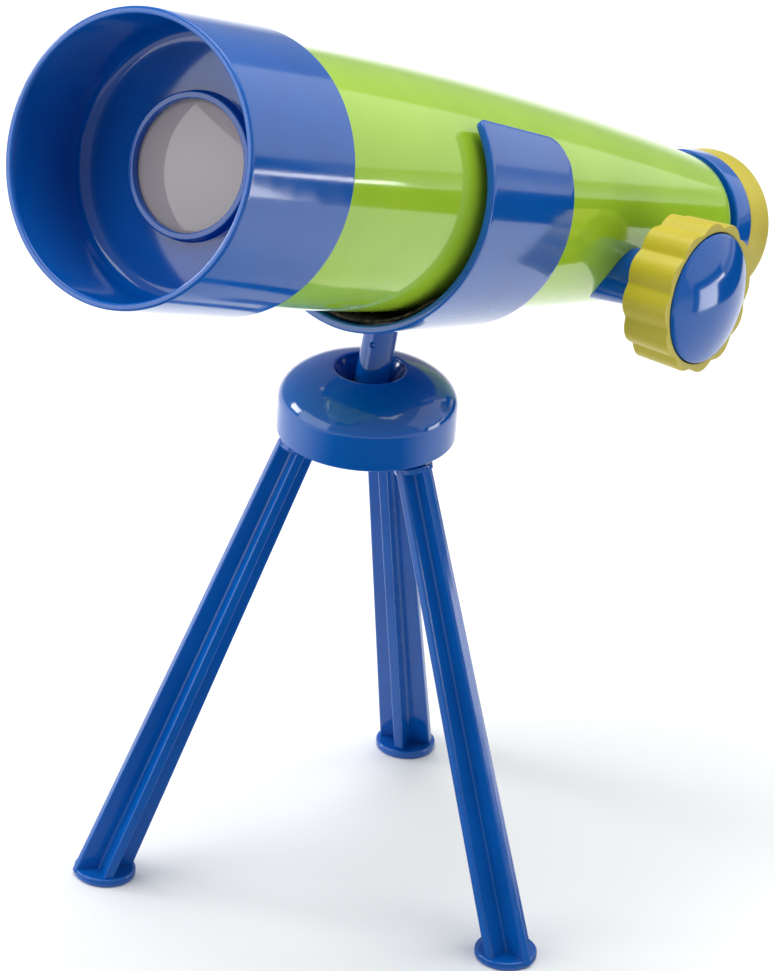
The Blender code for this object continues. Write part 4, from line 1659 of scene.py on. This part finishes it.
@dataclass
class Hub:
    """The domed hub, with the ball, its seat and the three screws under it."""

    radius: float = 25.6 * MM
    bottom: float = 140.4 * MM
    shoulder: float = 150.4 * MM
    top: float = 161.3 * MM
    crown: float = 3.6 * MM
    wall: float = 2.3 * MM
    hole: float = 10.0 * MM
    ball_height: float = 150.0 * MM
    ball_radius: float = 7.5 * MM
    seat_radius: float = 10.4 * MM
    gap: float = 0.3 * MM
    screw_circle: float = 18.5 * MM
    neck: float = 11.5 * MM
    throat: float = 3.2 * MM  # how far the socket reaches above the ball's centre
    seat_depth: float = 6.8 * MM
    screw_under: float = 140.4 * MM
    shank: float = 1.0 * MM
    head: float = 2.5 * MM
    head_height: float = 1.4 * MM
    slot_size: tuple[float, float] = (2.4 * MM, 0.55 * MM)
    column: float = 2.8 * MM
    column_bore: float = 1.3 * MM
    column_foot: float = 142.4 * MM
    screw_count: int = 3

    def level(self, radius: float, shrink: float) -> float:
        """The dome's height at a radius, inside it by shrink."""
        share = (radius - self.crown) / (self.radius - shrink - self.crown)
        return self.shoulder + (self.top - self.shoulder - shrink) * math.sqrt(max(0.0, 1 - share**2))

    def dome(self, start: float, stop: float, shrink: float, count: int) -> Outline:
        """Points over the dome, closer together where it turns down."""
        points = []
        for k in range(count + 1):
            # Even steps of angle on the ellipse keep its shoulder smooth.
            low = math.asin(min(1.0, (start - self.crown) / (self.radius - shrink - self.crown)))
            high = math.asin(min(1.0, (stop - self.crown) / (self.radius - shrink - self.crown)))
            angle = low + (high - low) * k / count
            radius = self.crown + (self.radius - shrink - self.crown) * math.sin(angle)
            points.append((radius, self.level(radius, shrink)))
        return points

    def cover_mesh(self, place: Matrix) -> bpy.types.Mesh:
        """Turns the hub's cover, with the socket that holds the ball down.

        Args:
            place: Where the piece stands.

        Returns:
            The mesh, standing in place.
        """
        socket = self.ball_radius + self.gap
        neck = self.neck
        inner = self.radius - self.wall

        def cup(share: float) -> tuple[float, float]:
            height = self.throat * share
            return math.sqrt(socket**2 - height**2), self.ball_height + self.gap + height

        mouth = self.dome(self.hole + 1.0 * MM, self.radius, 0.0, 40)
        corner = softened(
            [mouth[-1], (self.radius, self.bottom, 1.4 * MM), (inner, self.bottom), (inner, self.shoulder)],
            closed=False,
        )
        roof = self.dome(neck, inner, self.wall, 16)[::-1]
        crest = self.level(self.hole, 0.0)
        lip = softened(
            [
                cup(1.0),
                (self.hole, crest - 1.0 * MM, 0.2 * MM),
                (self.hole + 0.15 * MM, crest - 0.25 * MM, 0.5 * MM),
                mouth[0],
            ],
            closed=False,
        )
        outline = mouth[:-1] + corner[:-1] + roof
        outline += [(neck, self.ball_height + self.gap)] + curve_points(cup, 8)[:-1] + lip[:-1]
        return turned("cover", outline, place)

    def ball_mesh(self, place: Matrix) -> bpy.types.Mesh:
        """Turns the ball.

        Args:
            place: Where the piece stands.

        Returns:
            The mesh, standing in place.
        """

        def half(share: float) -> tuple[float, float]:
            inside = 0.0 < share < 1.0
            radius = self.ball_radius * math.sin(math.pi * share) if inside else 0.0
            return radius, self.ball_height + self.ball_radius * math.cos(math.pi * share)

        return turned("ball", curve_points(half, 32), place, closed=False, steps=64)

    def seat_mesh(self, place: Matrix) -> bpy.types.Mesh:
        """Turns the ring that carries the ball from below.

        Args:
            place: Where the piece stands.

        Returns:
            The mesh, standing in place.
        """
        socket = self.ball_radius + self.gap
        low, high = self.seat_depth, self.gap

        def cup(share: float) -> tuple[float, float]:
            height = low + (high - low) * share
            return math.sqrt(socket**2 - height**2), self.ball_height - height

        outline = [(self.seat_radius, self.ball_height - high), (self.seat_radius, self.ball_height - low)]
        return turned("seat", outline + curve_points(cup, 10), place, steps=96)

    def screw_mesh(self) -> bpy.types.Mesh:
        """Makes one screw on the origin's axis, its head down with a cross recess.

        Returns:
            The mesh, standing in place.
        """
        under = self.screw_under
        end = under - self.head_height
        tip = self.shoulder - 1.0 * MM
        outline = [
            (0.0, tip),
            (self.shank, tip, 0.3 * MM),
            (self.shank, under, 0.1 * MM),
            (self.head, under, 0.2 * MM),
            (self.head, under - self.head_height / 2, 0.5 * MM),
            (self.head - 0.9 * MM, end, 0.3 * MM),
            (0.0, end),
        ]
        upright = Matrix.Identity(4)
        screw = turned("screw", softened(outline, closed=False), upright, closed=False, steps=32)
        slots = []
        for number, size in enumerate((self.slot_size, self.slot_size[::-1]), 1):
            build = bmesh.new()
            block = Matrix.Diagonal((*size, self.head_height, 1.0))
            bmesh.ops.create_cube(build, size=1.0, matrix=Matrix.Translation((0.0, 0.0, end)) @ block)
            slots.append(to_mesh(build, f"slot {number}", upright))
        return cut(screw, *slots)

    def column_mesh(self) -> bpy.types.Mesh:
        """Makes one of the columns that the screws bite in.

        Returns:
            The mesh, standing in place.
        """
        low, high = self.column_foot, self.top - 5.0 * MM
        outline = [
            (self.column, high),
            (self.column, low, 0.2 * MM),
            (self.column_bore, low),
            (self.column_bore, high),
        ]
        return turned("column", softened(outline), Matrix.Identity(4), steps=32)

    def around(
        self,
        name: str,
        mesh: bpy.types.Mesh,
        start: float,
        material: bpy.types.Material,
        place: Matrix,
    ) -> bpy.types.Mesh:
        """Sets a copy of a mesh at each screw's place.

        Args:
            name: What the mesh is called.
            mesh: The mesh that is worked on.
            start: The first copy's angle in degrees.
            material: The finish it wears.
            place: Where the piece stands.

        Returns:
            The mesh, standing in place.
        """
        thing = on_bench(name, mesh)
        values = {
            "Thing": thing,
            "Count": self.screw_count,
            "Radius": self.screw_circle,
            "Start": start,
            "Material": material,
        }
        made = copies_round_axis().grow(name, values)
        bpy.data.objects.remove(thing)
        made.transform(place)
        return made

    def build(self, layout: Layout, finishes: Finishes) -> None:
        """Builds and dresses the hub.

        Args:
            layout: Where the frame's joints stand.
            finishes: What the pieces are painted with.
        """
        place = layout.hub
        _, outward = layout.leg(Body.LEG_LEFT.value)
        start = math.atan2(outward.y, outward.x) + math.pi / self.screw_count
        columns = self.around("columns", self.column_mesh(), start, finishes.blue, place)
        cover = joined("cover", [self.cover_mesh(place), columns])
        add_piece("hub_dome", cover, Body.HUB, Slot.BLUE, finishes, ["hub_cover"])
        screws = smoothed(self.around("screws", self.screw_mesh(), start, finishes.steel, place))
        nodes = [f"hub_screw_{number}" for number in range(1, self.screw_count + 1)]
        add_piece("hub_screws", screws, Body.HUB, Slot.STEEL, finishes, nodes)
        add_piece("ball_moulding", self.ball_mesh(place), Body.BALL, Slot.BLACK, finishes, ["swivel_ball"])
        add_piece("ball_cup", self.seat_mesh(place), Body.SEAT, Slot.BLACK, finishes, ["ball_seat"])


@dataclass
class Leg:
    """One plug-in leg: a cross-shaped bar with a collar and peg above, and a round pad below."""

    body: Body
    node: str
    foot_circle: float = 70.4 * MM
    collar_height: float = 137.0 * MM
    collar_radius: float = 5.6 * MM
    collar_half: float = 0.9 * MM
    peg_radius: float = 3.6 * MM
    peg_length: float = 10.5 * MM
    rib: float = 2.8 * MM
    width_top: float = 11.4 * MM
    width_foot: float = 16.0 * MM
    overrun: float = 6.0 * MM  # how far the ribs' taper is measured past the floor
    pad_radius: float = 9.0 * MM
    pad_height: float = 2.4 * MM

    def cross(self, width: float) -> Outline:
        """The bar's cross-shaped section, with moulded fillets."""
        tip, half = width / 2, self.rib / 2
        quarter = [(half, half, 0.7 * MM), (half, tip, 0.55 * MM), (-half, tip, 0.55 * MM)]
        corners: list[tuple[float, ...]] = []
        for turn in range(4):
            for x, y, fillet in quarter:
                for _ in range(turn):
                    x, y = -y, x
                corners.append((x, y, fillet))
        return softened(corners, steps=4)

    def bar_mesh(self, place: Matrix) -> bpy.types.Mesh:
        """Lofts the bar from the collar down into the pad.

        Args:
            place: Where the piece stands.

        Returns:
            The mesh, standing in place.
        """
        slope = place.col[2].xyz.z
        top = self.collar_height / slope
        sink = self.pad_height / 2
        build = bmesh.new()
        outer = self.cross(self.width_top)
        lower = self.cross(self.width_foot)
        rows = 24
        rings = []
        for k in range(rows + 1):
            ring = []
            for (x1, y1), (x2, y2) in zip(outer, lower):
                high = place @ Vector((x1, y1, top))
                low = place @ Vector((x2, y2, -self.overrun))
                stop = (high.z - sink) / (high.z - low.z)
                ring.append(build.verts.new(high.lerp(low, stop * k / rows)))
            rings.append(ring)
        for upper, under in zip(rings, rings[1:]):
            for j in range(len(upper)):
                n = (j + 1) % len(upper)
                build.faces.new((upper[j], upper[n], under[n], under[j]))
        build.faces.new(rings[0])
        build.faces.new(rings[-1])
        return to_mesh(build, "bar", Matrix.Identity(4))

    def build(self, layout: Layout, finishes: Finishes) -> None:
        """Builds and dresses the leg.

        Args:
            layout: Where the frame's joints stand.
            finishes: What the pieces are painted with.
        """
        place, outward = layout.leg(self.body.value)
        collar = self.collar_height / place.col[2].xyz.z
        disc = [
            (0.0, collar + self.collar_half),
            (self.collar_radius, collar + self.collar_half, 0.4 * MM),
            (self.collar_radius, collar - self.collar_half, 0.4 * MM),
            (0.0, collar - self.collar_half),
        ]
        peg = [
            (0.0, collar + self.peg_length),
            (self.peg_radius, collar + self.peg_length, 0.5 * MM),
            (self.peg_radius, collar),
            (0.0, collar),
        ]
        pad = [
            (0.0, self.pad_height),
            (self.pad_radius, self.pad_height, 0.7 * MM),
            (self.pad_radius, 0.0, 0.6 * MM),
            (0.0, 0.0),
        ]
        centre = Vector((layout.ball.x, layout.ball.y, 0.0)) + outward * self.foot_circle
        meshes = [
            self.bar_mesh(place),
            turned("collar", softened(disc, closed=False), place, closed=False, steps=64),
            turned("peg", softened(peg, closed=False), place, closed=False, steps=48),
            turned("pad", softened(pad, closed=False), Matrix.Translation(centre), closed=False, steps=96),
        ]
        name = self.node.replace("leg_", "tripod_leg_")
        add_piece(name, joined(name, meshes), self.body, Slot.BLUE, finishes, [self.node])


@dataclass
class HiddenWorks:
    """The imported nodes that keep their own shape, which nearly all lie inside."""

    slots: dict[str, Slot] = field(
        default_factory=lambda: {
            "lens_retaining_ring": Slot.BLACK,
            "draw_tube_guide": Slot.BLACK,
            "focus_rack": Slot.NYLON,
            "focus_pinion": Slot.NYLON,
            "shaft_bush": Slot.NYLON,
            "focus_shaft": Slot.STEEL,
            "knob_screw": Slot.STEEL,
            "cradle_screw": Slot.STEEL,
            "hub_base": Slot.BLUE,
        }
    )

    def dress(self, nodes: dict[str, bpy.types.Object], finishes: Finishes) -> None:
        """Gives each node its material.

        Args:
            nodes: The frame's nodes.
            finishes: What the pieces are painted with.
        """
        for name, slot in self.slots.items():
            mesh = nodes[name].data
            if not mesh.materials:
                mesh.materials.append(None)
            for index in range(len(mesh.materials)):
                mesh.materials[index] = finishes.for_slot(slot)
            LOG.info("%s: %s", name, slot.value)


# ---------------------------------------------------------------- studio


@dataclass
class Softbox:
    """A rectangular studio light."""

    name: str
    at: tuple[float, float, float]
    towards: tuple[float, float, float]
    size: tuple[float, float]
    watts: float
    mirrored: bool = True  # whether gloss shows it

    def build(self) -> None:
        """Builds the light."""
        lamp = bpy.data.lights.new(self.name, "AREA")
        lamp.shape = "RECTANGLE"
        lamp.size, lamp.size_y = self.size
        lamp.energy = self.watts
        made = bpy.data.objects.new(self.name, lamp)
        made.location = self.at
        made.visible_glossy = self.mirrored
        aim = Vector(self.towards) - Vector(self.at)
        made.rotation_euler = aim.to_track_quat("-Z", "Y").to_euler()
        bpy.context.scene.collection.objects.link(made)


@dataclass
class Card:
    """A studio card that only shows in reflections, black or glowing."""

    name: str
    at: tuple[float, float, float]
    towards: tuple[float, float, float]
    size: tuple[float, float]
    glow: float
    faded: bool = False  # whether it fades out towards its edges

    def build(self) -> None:
        """Builds the card."""
        build = bmesh.new()
        bmesh.ops.create_grid(build, x_segments=1, y_segments=1, size=0.5)
        mesh = bpy.data.meshes.new(self.name)
        build.to_mesh(mesh)
        build.free()
        made = on_bench(self.name, mesh)
        aim = Vector(self.towards) - Vector(self.at)
        turn = aim.to_track_quat("-Z", "Y").to_matrix().to_4x4()
        made.matrix_world = Matrix.Translation(self.at) @ turn @ Matrix.Diagonal((*self.size, 1.0, 1.0))
        material, tree, shader = new_material(self.name)
        shader.inputs["Base Color"].default_value = (0.0, 0.0, 0.0, 1.0)
        shader.inputs["Specular IOR Level"].default_value = 0.0
        shader.inputs["Emission Color"].default_value = (1.0, 1.0, 1.0, 1.0)
        shader.inputs["Emission Strength"].default_value = self.glow
        if self.faded:
            place = add_node(tree, "ShaderNodeTexCoord").outputs["Object"]
            spread = add_node(
                tree, "ShaderNodeMapping", {"Scale": (1.9, 1.9, 1.9)}, {"Vector": place}
            )
            fade = add_node(
                tree,
                "ShaderNodeTexGradient",
                {"gradient_type": "SPHERICAL"},
                {"Vector": spread.outputs["Vector"]},
            )
            edge = add_node(
                tree,
                "ShaderNodeMapRange",
                {"From Max": 0.55, "interpolation_type": "SMOOTHSTEP"},
                {"Value": fade.outputs["Fac"]},
            )
            tree.links.new(edge.outputs["Result"], shader.inputs["Alpha"])
        mesh.materials.append(material)
        made.visible_camera = False
        made.visible_diffuse = False
        made.visible_shadow = False
        made.visible_transmission = False


@dataclass
class Studio:
    """The pale floor, the soft lights and the camera."""

    azimuth: float = math.radians(36.3)
    elevation: float = math.radians(27.2)
    roll: float = math.radians(3.83)
    distance: float = 1.641
    target: tuple[float, float, float] = (-5.0 * MM, -22.6 * MM, 125.6 * MM)
    lens_mm: float = 213.3
    floor_radius: float = 6.0
    world_strength: float = 0.4

    def build_floor(self) -> None:
        """Lays the floor."""
        build = bmesh.new()
        bmesh.ops.create_circle(build, cap_ends=True, segments=96, radius=self.floor_radius)
        floor = on_bench("studio_floor", to_mesh(build, "floor", Matrix.Translation((0.0, 0.0, -0.05 * MM))))
        floor.data.materials.append(MattPaper().material())

    def build_lights(self) -> None:
        """Hangs the lights and cards."""
        world = bpy.data.worlds.new("studio")
        world.use_nodes = True
        background = world.node_tree.nodes["Background"]
        background.inputs["Color"].default_value = linear("#F4F7FF")
        background.inputs["Strength"].default_value = self.world_strength
        bpy.context.scene.world = world
        middle = (0.0, 0.0, 0.18)
        lights = (
            Softbox("overhead softbox", (-0.2, 0.3, 1.9), middle, (1.8, 1.8), 34.0),
            Softbox("rear fill", (0.7, 1.4, 1.1), middle, (0.8, 0.8), 4.0, mirrored=False),
            Softbox("left softbox", (-1.35, -0.6, 0.5), middle, (0.45, 0.4), 7.0),
            Softbox("high front fill", (-0.7, -1.1, 1.6), middle, (1.2, 1.2), 10.0, mirrored=False),
        )
        for light in lights:
            light.build()
        cards = (
            Card("rear paper", (0.75, 1.05, 0.75), middle, (2.4, 1.35), 1.1),
            Card("dark gap", (0.26, 0.50, 0.055), (0.0, 0.0, 0.19), (0.8, 0.13), 0.0),
            Card("strip", (0.37, 0.44, 0.138), (0.0, 0.0, 0.2), (0.10, 0.016), 9.0),
            Card("front paper", (-0.8, -1.25, 0.42), (0.0, -0.1, 0.22), (1.2, 1.0), 2.6),
            Card("dark table", (0.22, -0.30, 0.001), (0.22, -0.30, 1.0), (1.0, 0.9), 0.0, True),
            Card("window surround", (0.48, 0.36, 0.085), (0.05, 0.06, 0.17), (0.36, 0.24), 0.0),
            Card("window", (0.46, 0.33, 0.08), (0.05, 0.06, 0.17), (0.19, 0.14), 6.0),
        )
        for card in cards:
            card.build()

    def build_camera(self) -> None:
        """Sets up the camera."""
        level = math.cos(self.elevation)
        back = Vector(
            (level * math.sin(self.azimuth), -level * math.cos(self.azimuth), math.sin(self.elevation))
        )
        data = bpy.data.cameras.new("camera")
        data.lens = self.lens_mm
        data.sensor_width = 36.0
        data.clip_start = 0.05
        camera = bpy.data.objects.new("camera", data)
        turn = back.to_track_quat("Z", "Y").to_matrix() @ Matrix.Rotation(self.roll, 3, "Z")
        camera.matrix_world = Matrix.Translation(Vector(self.target) + back * self.distance) @ turn.to_4x4()
        bpy.context.scene.collection.objects.link(camera)
        bpy.context.scene.camera = camera

    def build(self) -> None:
        """Builds the whole studio."""
        self.build_floor()
        self.build_lights()
        self.build_camera()
        bpy.context.scene.view_settings.view_transform = "Standard"


def main() -> None:
    """Builds the telescope, its tripod and the studio."""
    logging.basicConfig(level=logging.INFO, format="%(message)s")
    for old in list(bpy.data.objects):
        bpy.data.objects.remove(old, do_unlink=True)
    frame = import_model()
    layout = Layout(frame["joints"])
    finishes = Finishes()

    HiddenWorks().dress(frame["nodes"], finishes)
    assemblies = (
        Objective(),
        Barrel(),
        FocusKnob(),
        Eyepiece(),
        Clip(),
        Hub(),
        Leg(Body.LEG_LEFT, "leg_front_left"),
        Leg(Body.LEG_RIGHT, "leg_right"),
        Leg(Body.LEG_REAR, "leg_rear"),
    )
    for assembly in assemblies:
        assembly.build(layout, finishes)
    Studio().build()


if __name__ == "__main__":
    main()
